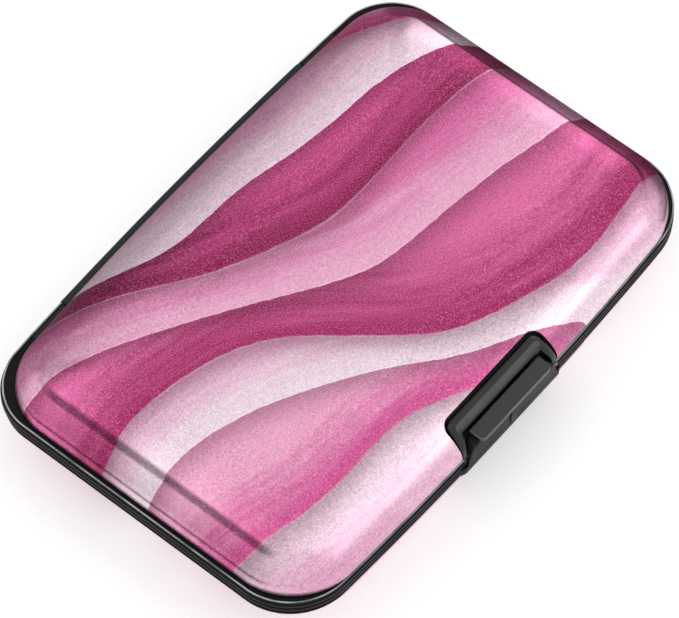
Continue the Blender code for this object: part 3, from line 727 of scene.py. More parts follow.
def ribbon_group() -> bpy.types.NodeTree:
    """One ribbon of the print, laid over what is below it.

    The ribbon's edge is a sine line along X, bent by a slow drift. Its colour goes from
    near its edge to far from it, with fine streaks that follow the line. A pale line runs
    along the edge, and what is below darkens towards it.

    Returns:
        The group, with an input for each value of a Ribbon.
    """
    sockets = {"Along": "Float", "Across": "Float", "Below": "Color"}
    for value in fields(Ribbon):
        sockets[value.name.capitalize()] = "Float" if value.type is float else "Color"
    nodes, given, made = new_group("silk_ribbon", sockets, {"Colour": "Color"})
    blur, line_width, shade_reach = 0.07, 0.5, 6.5
    streaks_along, streaks_across = 0.03, 0.34
    turn = nodes.math("ADD", nodes.math("DIVIDE", given["Along"], given["Length"]), given["Phase"])
    wave = nodes.math("MULTIPLY", nodes.math("SINE", turn), given["Swing"])
    depth = nodes.math("SUBTRACT", given["Across"], nodes.math("ADD", wave, given["Offset"]))
    cover = nodes.ramp(depth, -blur, blur)
    flow = nodes.add("ShaderNodeCombineXYZ")
    nodes.feed(flow.inputs[0], nodes.math("MULTIPLY", given["Along"], streaks_along))
    nodes.feed(flow.inputs[1], nodes.math("MULTIPLY", depth, streaks_across))
    nodes.feed(flow.inputs[2], given["Phase"])
    fibre = nodes.noise(flow.outputs[0], 1.0, 6.0, 0.72)
    streak = nodes.math("MULTIPLY", nodes.math("SUBTRACT", fibre, 0.5), given["Streak"])
    share = nodes.math("ADD", nodes.math("DIVIDE", depth, given["Width"]), streak, clamp=True)
    colour = nodes.mix(nodes.ramp(share, 0.0, 1.0), given["Near"], given["Far"])
    broken = nodes.ramp(fibre, 0.35, 0.6, 0.2, 1.0)
    line = nodes.math("MULTIPLY", nodes.ramp(depth, line_width, 0.08), broken)
    colour = nodes.mix(nodes.math("MULTIPLY", line, given["Rim"]), colour, linear(255, 226, 240))
    shade = nodes.math("POWER", nodes.ramp(depth, -shade_reach, 0.4), 1.8)
    below = nodes.mix(nodes.math("MULTIPLY", shade, given["Shade"]), given["Below"], linear(92, 14, 52))
    nodes.feed(made["Colour"], nodes.mix(cover, below, colour))
    return nodes.tree


def grain_group() -> bpy.types.NodeTree:
    """Fine grain of a print on blasted metal.

    Returns:
        The group, which puts out a brightness, a mask of glints and a height.
    """
    nodes, given, made = new_group(
        "metal_grain",
        {"Place": "Vector", "Amount": "Float"},
        {"Speckle": "Float", "Glint": "Float", "Height": "Float"},
    )
    fine = nodes.noise(given["Place"], 4.2, 1.0, 0.7)
    coarse = nodes.noise(given["Place"], 1.3, 2.0, 0.6)
    both = nodes.math("ADD", nodes.math("MULTIPLY", fine, 0.7), nodes.math("MULTIPLY", coarse, 0.3))
    away = nodes.math("SUBTRACT", both, 0.5)
    nodes.feed(made["Speckle"], nodes.math("MULTIPLY_ADD", away, given["Amount"], 1.0))
    nodes.feed(made["Glint"], nodes.ramp(fine, 0.5, 0.72))
    nodes.feed(made["Height"], both)
    return nodes.tree


def moulding_group() -> bpy.types.NodeTree:
    """Spark-eroded skin of a plastic moulding.

    Returns:
        The group, which puts out a height and a slow change of gloss.
    """
    nodes, given, made = new_group(
        "moulded_skin", {"Place": "Vector", "Fineness": "Float"}, {"Height": "Float", "Gloss": "Float"}
    )
    nodes.feed(made["Height"], nodes.noise(given["Place"], given["Fineness"]))
    nodes.feed(made["Gloss"], nodes.noise(given["Place"], 0.12))
    return nodes.tree


GROUPS = {"ribbon": ribbon_group(), "grain": grain_group(), "skin": moulding_group()}


@dataclass(frozen=True)
class Finish:
    """A finish of one colour with a fine skin.

    Attributes:
        name: The material's name.
        slot: The record's material slot; not used by this script.
        colour: Base colour.
        roughness: Mean roughness.
        metallic: Share of metal.
        alpha: Opacity.
        spread: Change of roughness over the surface, each way.
        fineness: Cells of the skin to a millimetre.
        relief: Depth of the skin in millimetres.
        specular: Strength of the surface reflection, 0.5 for plain plastic.
        painted_highlight: Heights from the parting plane between which a rounded edge gets a painted
            highlight.
        painted_highlight_colour: Colour of that painted highlight.
    """

    name: str
    slot: str
    colour: Colour
    roughness: float
    metallic: float = 0.0
    alpha: float = 1.0
    spread: float = 0.05
    fineness: float = 4.0
    relief: float = 0.002
    specular: float = 0.5
    # Painted highlight on a rounded edge: its heights and its colour.
    painted_highlight: tuple[float, float] | None = None
    painted_highlight_colour: Colour = linear(190, 192, 194)

    def start(self) -> tuple[bpy.types.Material, Nodes, bpy.types.Node, Socket]:
        """Starts the material.

        Returns:
            The material, its nodes, its shader, and Object coordinates in millimetres.
        """
        material, nodes, shader = new_material(self.name)
        shader.inputs["Metallic"].default_value = self.metallic
        shader.inputs["Alpha"].default_value = self.alpha
        shader.inputs["Specular IOR Level"].default_value = self.specular
        where = nodes.add("ShaderNodeTexCoord").outputs["Object"]
        return material, nodes, shader, nodes.stretch(where, (1.0 / METRES,) * 3)

    def finish(self, nodes: Nodes, shader: bpy.types.Node, gloss: Socket, height: Socket) -> None:
        """Feeds the shader's roughness and normal.

        Args:
            nodes: The material's nodes.
            shader: Its shader.
            gloss: Noise that the roughness follows.
            height: Height of the skin, as a share of the relief.
        """
        low, high = self.roughness - self.spread, self.roughness + self.spread
        nodes.feed(shader.inputs["Roughness"], nodes.ramp(gloss, 0.3, 0.7, low, high))
        bump = nodes.add("ShaderNodeBump")
        bump.inputs["Strength"].default_value = 1.0
        bump.inputs["Distance"].default_value = self.relief * METRES
        nodes.feed(bump.inputs["Height"], height)
        nodes.feed(shader.inputs["Normal"], bump.outputs[0])

    @staticmethod
    def level(nodes: Nodes, place: Socket) -> Socket:
        """Distance from the parting plane, in millimetres."""
        return nodes.math("ABSOLUTE", nodes.math("SUBTRACT", nodes.split(place)[2], PARTING))

    def painted_highlight_mask(self, nodes: Nodes, place: Socket) -> Socket:
        """Mask of a painted highlight along a rounded edge: 1 between the two given heights of either
        half.

        Args:
            nodes: The material's nodes.
            place: Object coordinates in millimetres.

        Returns:
            The mask, broken up a little along the edge.
        """
        level = self.level(nodes, place)
        low, high = self.painted_highlight
        above, below = nodes.ramp(level, low - 0.03, low), nodes.ramp(level, high + 0.02, high)
        patches = nodes.ramp(nodes.noise(place, 0.2, 3.0), 0.3, 0.65, 0.35, 1.0)
        return nodes.math("MULTIPLY", nodes.math("MULTIPLY", above, below), patches)

    def material(self) -> bpy.types.Material:
        """Builds the material.

        Returns:
            The material, with its roughness and normal from the moulded skin.
        """
        material, nodes, shader, place = self.start()
        skin = nodes.group(GROUPS["skin"], place=place, fineness=self.fineness).outputs
        shade = nodes.math("MULTIPLY_ADD", skin["Gloss"], 0.12, 0.94)
        tint = nodes.mix(1.0, self.colour, shade, "MULTIPLY")
        if self.painted_highlight is not None:
            # Painted highlight: a lighter band at the given heights stands in for the light that a
            # rounded edge catches.
            tint = nodes.mix(self.painted_highlight_mask(nodes, place), tint, self.painted_highlight_colour)
        nodes.feed(shader.inputs["Base Color"], tint)
        self.finish(nodes, shader, skin["Gloss"], skin["Height"])
        return material


@dataclass(frozen=True)
class PrintedAluminium(Finish):
    """Flowing ribbons printed in pinks on blasted aluminium, with a bare cut edge.

    The finish's own colour is that of the bare metal.

    Attributes:
        turn: Angle in degrees of the ribbons to the case's length.
        drift: How far the ribbons drift to each side together.
        ground: Colours of the ground, from one end of the case to the other.
        edge_height: Height that the bare edge reaches above the parting plane.
        speckle: Strength of the grain.
        mottle: Strength of the slow change of brightness.
        glint: Strength of the glints of metal.
        glint_colour: Colour of the glints.
        ribbons: The ribbons, from the lowest to the topmost.
    """

    turn: float = -20.0
    drift: float = 9.0
    ground: tuple[Colour, Colour] = (linear(234, 214, 224), linear(224, 182, 202))
    edge_height: float = 2.38
    speckle: float = 1.7
    mottle: float = 0.18
    glint: float = 0.22
    glint_colour: Colour = linear(250, 206, 228)
    ribbons: tuple[Ribbon, ...] = (
        Ribbon(-45, linear(220, 158, 190), linear(238, 210, 224), 4.0, 17.0, 0.4, 12.0, 1.2, 0.2, 0.3),
        Ribbon(-33, linear(208, 88, 148), linear(236, 168, 201), 6.0, 15.0, 1.3, 14.0, 1.3, 0.35, 0.5),
        Ribbon(-21, linear(238, 218, 229), linear(224, 168, 198), 5.0, 18.0, 2.6, 13.0, 1.2, 0.25, 0.5),
        Ribbon(-12, linear(164, 44, 102), linear(220, 108, 162), 7.0, 16.0, 3.2, 16.0, 1.4, 0.45, 0.5),
        Ribbon(3, linear(232, 172, 203), linear(212, 106, 160), 5.0, 19.0, 4.3, 14.0, 1.2, 0.3, 0.55),
        Ribbon(14, linear(144, 34, 86), linear(204, 80, 140), 6.5, 15.5, 4.9, 14.0, 1.4, 0.4, 0.5),
        Ribbon(25, linear(238, 214, 227), linear(226, 164, 196), 5.0, 17.0, 5.8, 14.0, 1.2, 0.25, 0.55),
        Ribbon(38, linear(190, 64, 126), linear(220, 126, 175), 5.5, 16.0, 6.9, 14.0, 1.3, 0.35, 0.5),
    )

    def print_colour(self, nodes: Nodes, place: Socket) -> Socket:
        """Colour of the print.

        Args:
            nodes: The material's nodes.
            place: Object coordinates in millimetres.

        Returns:
            The ground with every ribbon laid on it.
        """
        turned = nodes.stretch(place, (1.0, 1.0, 0.0), math.radians(-self.turn))
        along, across, _ = nodes.split(turned)
        slow = nodes.math("SUBTRACT", nodes.noise(turned, 0.017, 1.0), 0.5)
        fine = nodes.math("SUBTRACT", nodes.noise(turned, 0.45, 3.0), 0.5)
        across = nodes.math("MULTIPLY_ADD", slow, 2 * self.drift, across)
        across = nodes.math("MULTIPLY_ADD", fine, 0.5, across)
        colour = nodes.mix(nodes.ramp(nodes.split(place)[0], -50.0, 50.0), *self.ground)
        for ribbon in self.ribbons:
            values = {"along": along, "across": across, "below": colour, **asdict(ribbon)}
            colour = nodes.group(GROUPS["ribbon"], **values).outputs[0]
        cloud = nodes.math("SUBTRACT", nodes.noise(place, 0.24, 4.0, 0.6), 0.5)
        cloud = nodes.math("MULTIPLY_ADD", cloud, self.mottle, 1.0)
        return nodes.mix(1.0, colour, cloud, "MULTIPLY")

    def material(self) -> bpy.types.Material:
        """Builds the material.

        Returns:
            The material, with the print over the metal and bare metal at the rim.
        """
        material, nodes, shader, place = self.start()
        grain = nodes.group(GROUPS["grain"], place=place, amount=self.speckle).outputs
        colour = nodes.mix(1.0, self.print_colour(nodes, place), grain["Speckle"], "MULTIPLY")
        glint = nodes.math("MULTIPLY", grain["Glint"], self.glint)
        colour = nodes.mix(glint, colour, self.glint_colour)
        bare = nodes.ramp(self.level(nodes, place), self.edge_height + 0.04, self.edge_height - 0.04)
        nodes.feed(shader.inputs["Base Color"], nodes.mix(bare, colour, self.colour))
        nodes.feed(shader.inputs["Metallic"], nodes.ramp(bare, 0.0, 1.0, self.metallic, 1.0))
        self.finish(nodes, shader, grain["Height"], grain["Height"])
        return material


PRINT = PrintedAluminium(
    "printed_aluminium", "printed_aluminium", linear(96, 96, 100), 0.35, metallic=0.92, relief=0.003
)
BLACK = Finish(
    "black_moulding", "black_abs", linear(36, 39, 38), 0.36, fineness=5.0, relief=0.0016, specular=0.05
)
# Painted light: a lighter copy of the black moulding, standing in for the light that the barrels'
# rounded tops catch.
BARREL_PAINTED_LIGHT = replace(BLACK, name="barrel_moulding_painted_light", colour=linear(50, 56, 53))
# The frame's lip carries a painted highlight, a lighter band along its rounded top edge.
FRAME = replace(BLACK, name="black_moulding_painted_highlight", colour=linear(30, 32, 31), painted_highlight=(1.98, 2.1))
SATIN = Finish("satin_black_moulding", "black_abs", linear(12, 13, 14), 0.22, fineness=5.0, relief=0.001)
# The finger plate carries a painted highlight, a lighter band round its rounded top edge.
PLATE = Finish(
    "finger_plate_moulding", "black_abs", linear(36, 37, 38), 0.3, fineness=5.0, relief=0.0012,
    painted_highlight=(5.87, 5.965), painted_highlight_colour=linear(120, 121, 123),
)
STEEL = Finish("drawn_steel", "steel", linear(196, 197, 200), 0.24, metallic=1.0, fineness=9.0)
FILM = Finish("frosted_film", "clear_film", linear(226, 232, 236), 0.34, alpha=0.62, fineness=2.0)
TAPE = Finish("white_tape", "white_tape", linear(232, 230, 220), 0.7, relief=0.01)
FOAM = Finish("white_foam", "white_foam", linear(220, 219, 214), 0.9, fineness=2.5, relief=0.05)


class Wardrobe:
    """Builds each finish once and puts it on the pieces."""

    def __init__(self) -> None:
        """Starts with no material made."""
        self.made: dict[str, bpy.types.Material] = {}

    def dress(self, obj: bpy.types.Object, finish: Finish) -> None:
        """Gives a piece its finish.

        Args:
            obj: A new piece or a carried-over node.
            finish: The finish.
        """
        if finish.name not in self.made:
            self.made[finish.name] = finish.material()
        obj.data.materials.clear()
        obj.data.materials.append(self.made[finish.name])

    def place(
        self, obj: bpy.types.Object, finish: Finish, body: str, replaces: tuple[str, ...] = ()
    ) -> bpy.types.Object:
        """Dresses a new piece, fixes it to a body and hides the nodes that it stands for.

        Args:
            obj: The piece.
            finish: Its finish.
            body: The body that it rides on.
            replaces: Names of nodes.

        Returns:
            The piece.
        """
        self.dress(obj, finish)
        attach(obj, body)
        if replaces:
            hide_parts(*replaces)
        LOG.info("%s: %d faces, on %s", obj.name, len(obj.data.polygons), body)
        return obj


# The case


@dataclass(frozen=True)
class CoverForm:
    """The crowned surface of a cover, and of the tray that backs it.

    Attributes:
        outline: Plan of the cover's rim.
        rim: Height of the rim above the parting plane.
        crown: Height of the flat middle.
        reach: Distance in from the rim where the flat starts.
        knots: Shares of the reach at which the profiles are given.
        side: Share of the rise at each knot, across a long side.
        end: Share of the rise at each knot, across a short end.
    """

    outline: Outline = Outline(54.1, 36.85, 35.25, 12.5, 11.5, least_corner=2.5)
    rim: float = 2.2
    crown: float = 10.0
    reach: float = 22.0
    knots: tuple[float, ...] = (
        0.0, 0.0055, 0.023, 0.055, 0.10, 0.16, 0.175, 0.236, 0.277, 0.318, 0.409, 0.545, 0.727, 1.0
    )
    side: tuple[float, ...] = (
        0.0, 0.135, 0.276, 0.391, 0.506, 0.609, 0.628, 0.705, 0.750, 0.788, 0.853, 0.923, 0.974, 1.0
    )
    end: tuple[float, ...] = (
        0.0, 0.135, 0.276, 0.358, 0.469, 0.609, 0.641, 0.833, 0.868, 0.896, 0.945, 0.980, 0.995, 1.0
    )

    def height(self, inset: np.ndarray, end_share: np.ndarray | float = 0.0) -> np.ndarray:
        """Height of the surface: the two profiles, mixed by the share of the short end.

        Args:
            inset: Distance in from the rim.
            end_share: Share of the short end's profile.

        Returns:
            Heights above the parting plane.
        """
        share = np.asarray(inset, dtype=float) / self.reach
        knots = np.array(self.knots)
        side = smooth_curve(share, knots, np.array(self.side))
        end = smooth_curve(share, knots, np.array(self.end))
        return self.rim + (self.crown - self.rim) * (side + (end - side) * end_share)

    def surface(self, insets: np.ndarray, depth: float = 0.0, ceiling: float = 99.0) -> np.ndarray:
        """Rings on the surface, or on its copy moved in and down by depth.

        Args:
            insets: Distance in from the cover's rim, one for each ring.
            depth: How far the copy is sunk.
            ceiling: Greatest height.

        Returns:
            Rings as (ring, point, xyz).
        """
        plan, share = self.outline.rings(insets)
        source = np.maximum(np.asarray(insets) - depth, 0.0)[:, None]
        height = np.minimum(self.height(source, share[None, :]) - depth, ceiling)
        return np.concatenate([plan, height[..., None]], axis=-1)

    def flat(self, inset: float, height: float) -> np.ndarray:
        """One ring of the outline at a given height."""
        plan, _ = self.outline.rings(np.array([inset]))
        return np.insert(plan, 2, height, axis=2)


FORM = CoverForm()


@dataclass(frozen=True)
class Notch:
    """Plan of the gap in a cover's front side that the latch stands in.

    Attributes:
        half_width: Half its width at the inner corners.
        flare: How much wider each side is at the wall.
        inner: Y of its inner edge.
        mouth: Y of the case's front.
        corner: Radius of its inner corners.
    """

    half_width: float = 12.8
    flare: float = 0.2
    inner: float = -31.35
    mouth: float = -37.45
    corner: float = 2.2

    def path(self, gap: float) -> np.ndarray:
        """Its edge, moved inwards by a gap, from the left foot round to the right foot."""
        half = self.half_width - gap
        return corner_path(half, half + self.flare, self.inner - gap, self.mouth, self.corner - gap)


def corner_path(half: float, foot: float, inner: float, mouth: float, radius: float) -> np.ndarray:
    """Line up one side, round a corner, along the back, round a corner and down.

    A side has 26 points, a corner 16 and the back 60.

    Args:
        half: Half width at the back.
        foot: Half width at the mouth.
        inner: Y of the back.
        mouth: Y of the mouth.
        radius: Corner radius.

    Returns:
        Array of (x, y), from the left foot to the right foot.
    """
    share = np.linspace(0, 1, 26, endpoint=False)
    left = np.stack([-foot + (foot - half) * share, mouth + (inner - radius - mouth) * share], 1)
    turn = quarter(16)
    bend = np.stack([-half + radius * (1 - np.cos(turn)), inner - radius * (1 - np.sin(turn))], 1)
    middle = np.stack([(half - radius) * between(-1, 1, 60), np.full(60, inner)], 1)
    right = np.concatenate([left, bend])[::-1] * (-1.0, 1.0)
    return np.concatenate([left, bend, middle, right])


NOTCH = Notch()


@dataclass
class CoverShell:
    """A stamped aluminium cover.

    Attributes:
        half: Which cover it is.
        thickness: Thickness of the sheet.
        cut: How far the middle of the cut edge stands past the skins.
        foot: Distance in from the rim where the rings stop being closest.
        bend: Distance in where they get wide.
    """

    half: Half
    thickness: float = 0.5
    cut: float = 0.03
    foot: float = 1.0
    bend: float = 9.0

    def skin(self) -> np.ndarray:
        """Outer skin, with its rings closest where it bends most.

        Returns:
            Rings from the crown out to the rim.
        """
        near = self.foot * np.linspace(0, 1, 14, endpoint=False) ** 1.7
        middle = np.linspace(self.foot, self.bend, 40, endpoint=False)
        far = np.linspace(self.bend, FORM.reach, 16)
        return FORM.surface(np.concatenate([near, middle, far])[::-1])

    def shape(self) -> Shape:
        """The sheet: its outer skin, the cut edge, and the inner skin along the normals.

        The normal at a point is the cross product of the directions along the ring and
        from ring to ring, and the cut edge comes to a line between the two skins.

        Returns:
            The closed shape.
        """
        outer = self.skin()
        along = np.roll(outer, -1, axis=1) - np.roll(outer, 1, axis=1)
        across = np.gradient(outer, axis=0)
        normal = np.cross(across, along)
        normal /= np.linalg.norm(normal, axis=2, keepdims=True)
        normal *= np.sign(normal[0, :, 2].mean())
        inner = outer - normal * self.thickness
        edge = (outer[-1] + inner[-1]) / 2
        edge[:, 2] -= self.cut
        return Shape.loft(np.concatenate([outer, edge[None], inner[::-1]]))

    def build(self, wardrobe: Wardrobe) -> None:
        """Makes the cover and cuts its notch, with a cutter that reaches past it all round."""
        obj = self.shape().make(self.half.label + "_cover_shell", self.half)
        plan = NOTCH.path(0.0)
        plan[[0, -1], 1] -= 1.0
        carve(obj, [prism(plan, 2, FORM.rim - 1.2, FORM.crown + 2.0).make("notch", self.half)])
        wardrobe.place(obj, PRINT, self.half.body, (self.half.label + "_cover",))


@dataclass
class FrameMoulding:
    """A moulded frame: the tray behind a cover and the grooved wall round the rim.

    Attributes:
        half: Which frame it is.
        outline: Plan of the wall at the ledge.
        height: Height of the ledge.
        gap: Half the gap at the parting plane.
        edge: Radius of the wall's edges.
        groove: Depth of the groove.
        groove_low: Height of its lower edge.
        groove_high: Height of its upper edge.
        lip: Width of the lip over the groove.
        channel: Depth of the channel between the lip and the tray.
        rear_bulge: How far the rear wall stands out at the parting plane.
        tray_inset: Distance from cover to tray.
        wall: Thickness of the tray.
        floor: Height of the tray's inside.
        rim_wall: Distance from the cover's rim to the tray's inside.
        hinge_y: Y of the hinge line.
        centre: Half the length of the centre barrel.
        knuckle: Length of an end knuckle.
        play: Gap between barrels.
        notch: Gap in the lid's wall at an end knuckle's outer end.
        barrel_radius: Radius of the centre barrel.
        recess: How much less the end knuckles' radius is.
        barrel_edge: Radius of a barrel's end edges.
        bore: Radius of the barrels' bore.
        room_radius: Radius of the room that a wall leaves round the other half's barrels.
        seat_radius: Radius of the seat that an end knuckle fills.
        lean: Angle in degrees of the bevel that lets the lid turn back.
        clear: How far a cutter reaches past the wall.
        tray_insets: Distances in from the tray's edge at which it has a ring.
        hidden_insets: How many of them the tray's inside leaves out, behind the rim wall.
    """

    half: Half
    outline: Outline = Outline(55.0, 37.05, 37.05, 11.7, 10.5)
    height: float = 2.05
    gap: float = 0.15
    edge: float = 0.16
    groove: float = 0.25
    groove_low: float = 1.0
    groove_high: float = 1.6
    lip: float = 0.3
    channel: float = 0.3
    rear_bulge: float = 0.62
    tray_inset: float = 0.8
    wall: float = 1.1
    floor: float = 6.1
    rim_wall: float = 3.3
    hinge_y: float = 35.35
    centre: float = 32.0
    knuckle: float = 8.3
    play: float = 0.3
    notch: float = 0.4
    barrel_radius: float = 1.92
    recess: float = 0.1
    barrel_edge: float = 0.16
    bore: float = 0.7
    room_radius: float = 2.2
    seat_radius: float = 1.7
    lean: float = 51.0
    clear: float = 5.0
    tray_insets: tuple[float, ...] = (
        0.0, 0.25, 0.55, 0.9, 1.3, 1.8, 2.4, 3.2, 4.0, 4.6, 5.2, 5.6, 6.1, 6.6, 7.0, 7.8, 8.6, 9.2
    )
    hidden_insets: int = 5

    def wall_ring(self, inset: float, height: float) -> np.ndarray:
        """Ring of the wall. Its rear stands out by an amount that falls to 0 at the ledge.

        Args:
            inset: Distance in from the wall's outline.
            height: Height of the ring.

        Returns:
            The ring, as (1, point, xyz).
        """
        share = (self.height - height) / (self.height - self.gap)
        bulge = self.rear_bulge * float(ease(np.array(share * 0.72)))
        plan, _ = replace(self.outline, rear=self.outline.rear + bulge).rings(np.array([inset]))
        return np.insert(plan, 2, height, axis=2)

    def section(self) -> list[tuple[float, float]]:
        """Section of the wall: rounded edges, the groove, the bead over it and the channel.

        Returns:
            Inset and height of each point, from the parting plane up and into the channel.
        """
        turns = quarter(5)
        r, low, high, deep = self.edge, self.groove_low, self.groove_high, self.groove
        line = [(r * (1 - math.sin(t)), self.gap + r * (1 - math.cos(t))) for t in turns]
        line += [(0.0, low - 0.22), (0.015, low - 0.12), (0.06, low - 0.03), (0.13, low + 0.03)]
        line += [(deep, low + 0.13), (deep + 0.02, low + 0.22), (deep, high - 0.1), (0.12, high)]
        line += [(0.06, high + 0.03), (0.05, high + 0.08)]
        line += [(0.05 + r * (1 - math.cos(t)), self.height - r * (1 - math.sin(t))) for t in turns]
        inner, sunk = self.lip + 0.05, self.height - self.channel
        line += [(inner - 0.06, self.height - 0.01), (inner, self.height - 0.07), (inner, sunk + 0.04)]
        line.append((inner + 0.04, sunk))
        return line

    def body_shape(self) -> Shape:
        """The moulding as one loft, from the middle of the tray's inside to its outside.

        Returns:
            The closed shape.
        """
        insets = np.array(self.tray_insets)
        depth = self.tray_inset + self.wall
        rings = [FORM.surface(insets[self.hidden_insets:][::-1] + depth, depth, self.floor)]
        rings.append(FORM.flat(self.rim_wall + 0.5, self.height))
        rings.append(FORM.flat(self.rim_wall, self.gap + 0.1))
        rings.append(FORM.flat(self.rim_wall - 0.1, self.gap))
        rings += [self.wall_ring(inset, height) for inset, height in self.section()]
        rings.append(FORM.flat(self.tray_inset - 0.05, self.height - self.channel))
        rings.append(FORM.flat(self.tray_inset, self.height))
        rings.append(FORM.surface(insets[1:] + self.tray_inset, self.tray_inset, self.floor + self.wall))
        return Shape.loft(np.concatenate(rings))

    def room(self, name: str, radius: float, start: float, end: float) -> bpy.types.Object:
        """Cutter that clears a stretch of the rear wall: a half round in front, open behind.

        Args:
            name: The cutter's name.
            radius: Radius of the half round about the hinge line.
            start: X of one end.
            end: X of the other end, on either side.

        Returns:
            The cutter.
        """
        angle = np.linspace(QUARTER_TURN, 3 * QUARTER_TURN, 33)
        line = np.stack([self.hinge_y + radius * np.cos(angle), radius * np.sin(angle)], 1)
        behind = self.hinge_y + self.clear
        far = np.array([[behind, -radius], [behind, radius]])
        return prism(np.concatenate([line, far]), 0, *sorted((start, end))).make(name)

    def relief(self, name: str, start: float, end: float) -> bpy.types.Object:
        """Cutter that bevels the lid's rear wall beyond the knuckles, so that it can turn back.

        Args:
            name: The cutter's name.
            start: X of one end.
            end: X of the other end, on either side.

        Returns:
            The cutter.
        """
        near = self.hinge_y - 2 * self.gap
        far = near + 4.0
        high = (far - near) * math.tan(math.radians(self.lean))
        line = np.array([(near, -0.5), (far, -0.5), (far, high), (near, 0.0)])
        return prism(line, 0, *sorted((start, end))).make(name)

    def barrel(self, name: str, start: float, end: float, recess: float = 0.0) -> bpy.types.Object:
        """Hinge barrel along X, with a bore, rounded ends and a rear that follows the bowed wall.

        Its radius at an angle from the rear is the plain radius plus the extra reach of
        the wall there times the cosine squared, and it shrinks by a quarter round at
        each end.

        Args:
            name: The barrel's name.
            start: X of its left end.
            end: X of its right end.
            recess: How much less its radius is.

        Returns:
            The barrel.
        """
        turns = quarter(5)
        ends = self.barrel_edge * (1 - np.cos(turns))
        x = np.concatenate([start + ends, np.linspace(start, end, 70)[1:-1], end - ends[::-1]])
        shrink = np.zeros(len(x))
        shrink[: len(turns)] = self.barrel_edge * (1 - np.sin(turns))
        shrink[-len(turns):] = shrink[: len(turns)][::-1]
        angle = np.linspace(0, FULL_TURN, 56, endpoint=False)[None, :]
        base = self.outline
        wall = base.rear - base.bow * (x / base.half_length) ** 2 + self.rear_bulge
        wall -= self.hinge_y + recess
        plain = self.barrel_radius - recess
        radius = plain + (wall[:, None] - plain) * np.maximum(0, np.cos(angle)) ** 2 - shrink[:, None]
        x = np.concatenate([[start], x, [end]])[:, None] + 0 * angle
        radius = np.pad(radius, ((1, 1), (0, 0)), constant_values=self.bore)
        rings = np.stack([x, self.hinge_y + radius * np.cos(angle), radius * np.sin(angle)], axis=-1)
        return Shape.loft(rings, joined=True).make(name)

    def cutters(self, start: float, end: float) -> list[bpy.types.Object]:
        """Cutters for the hinge stretches of the rear wall.

        Args:
            start: Distance from the middle of an end knuckle's inner end.
            end: Distance of its outer end.

        Returns:
            The cutters. On the lid each knuckle gets a seat in place of a room.
        """
        if self.half is Half.BASE:
            return [
                self.room("room_" + word, self.room_radius, side * self.centre, side * (end + self.play))
                for side, word in SIDES
            ]
        cutters = []
        for side, word in SIDES:
            rest = side * (end - 0.1), side * self.outline.half_length
            seat = side * (start - self.play), side * (end + self.notch)
            cutters.append(self.relief("relief_" + word, *rest))
            cutters.append(self.room("seat_" + word, self.seat_radius, *seat))
        return cutters + [self.room("room", self.room_radius, -start, start)]

    def build(self, wardrobe: Wardrobe) -> None:
        """Makes the moulding, clears the hinge stretches and adds its barrels."""
        name = self.half.label + "_frame"
        obj = self.body_shape().make(name + "_moulding", self.half, sharp=38.0)
        start = self.centre + self.play
        end = start + self.knuckle
        carve(obj, self.cutters(start, end), sharp=38.0)
        wardrobe.place(obj, FRAME, self.half.body, (name,))
        if self.half is Half.BASE:
            wardrobe.place(self.barrel("centre_barrel", -self.centre, self.centre), BARREL_PAINTED_LIGHT, "base")
            return
        for side, word in SIDES:
            ends = sorted((side * start, side * end))
            knuckle = self.barrel("end_knuckle_" + word, *ends, self.recess)
            wardrobe.place(knuckle, BARREL_PAINTED_LIGHT, "lid")


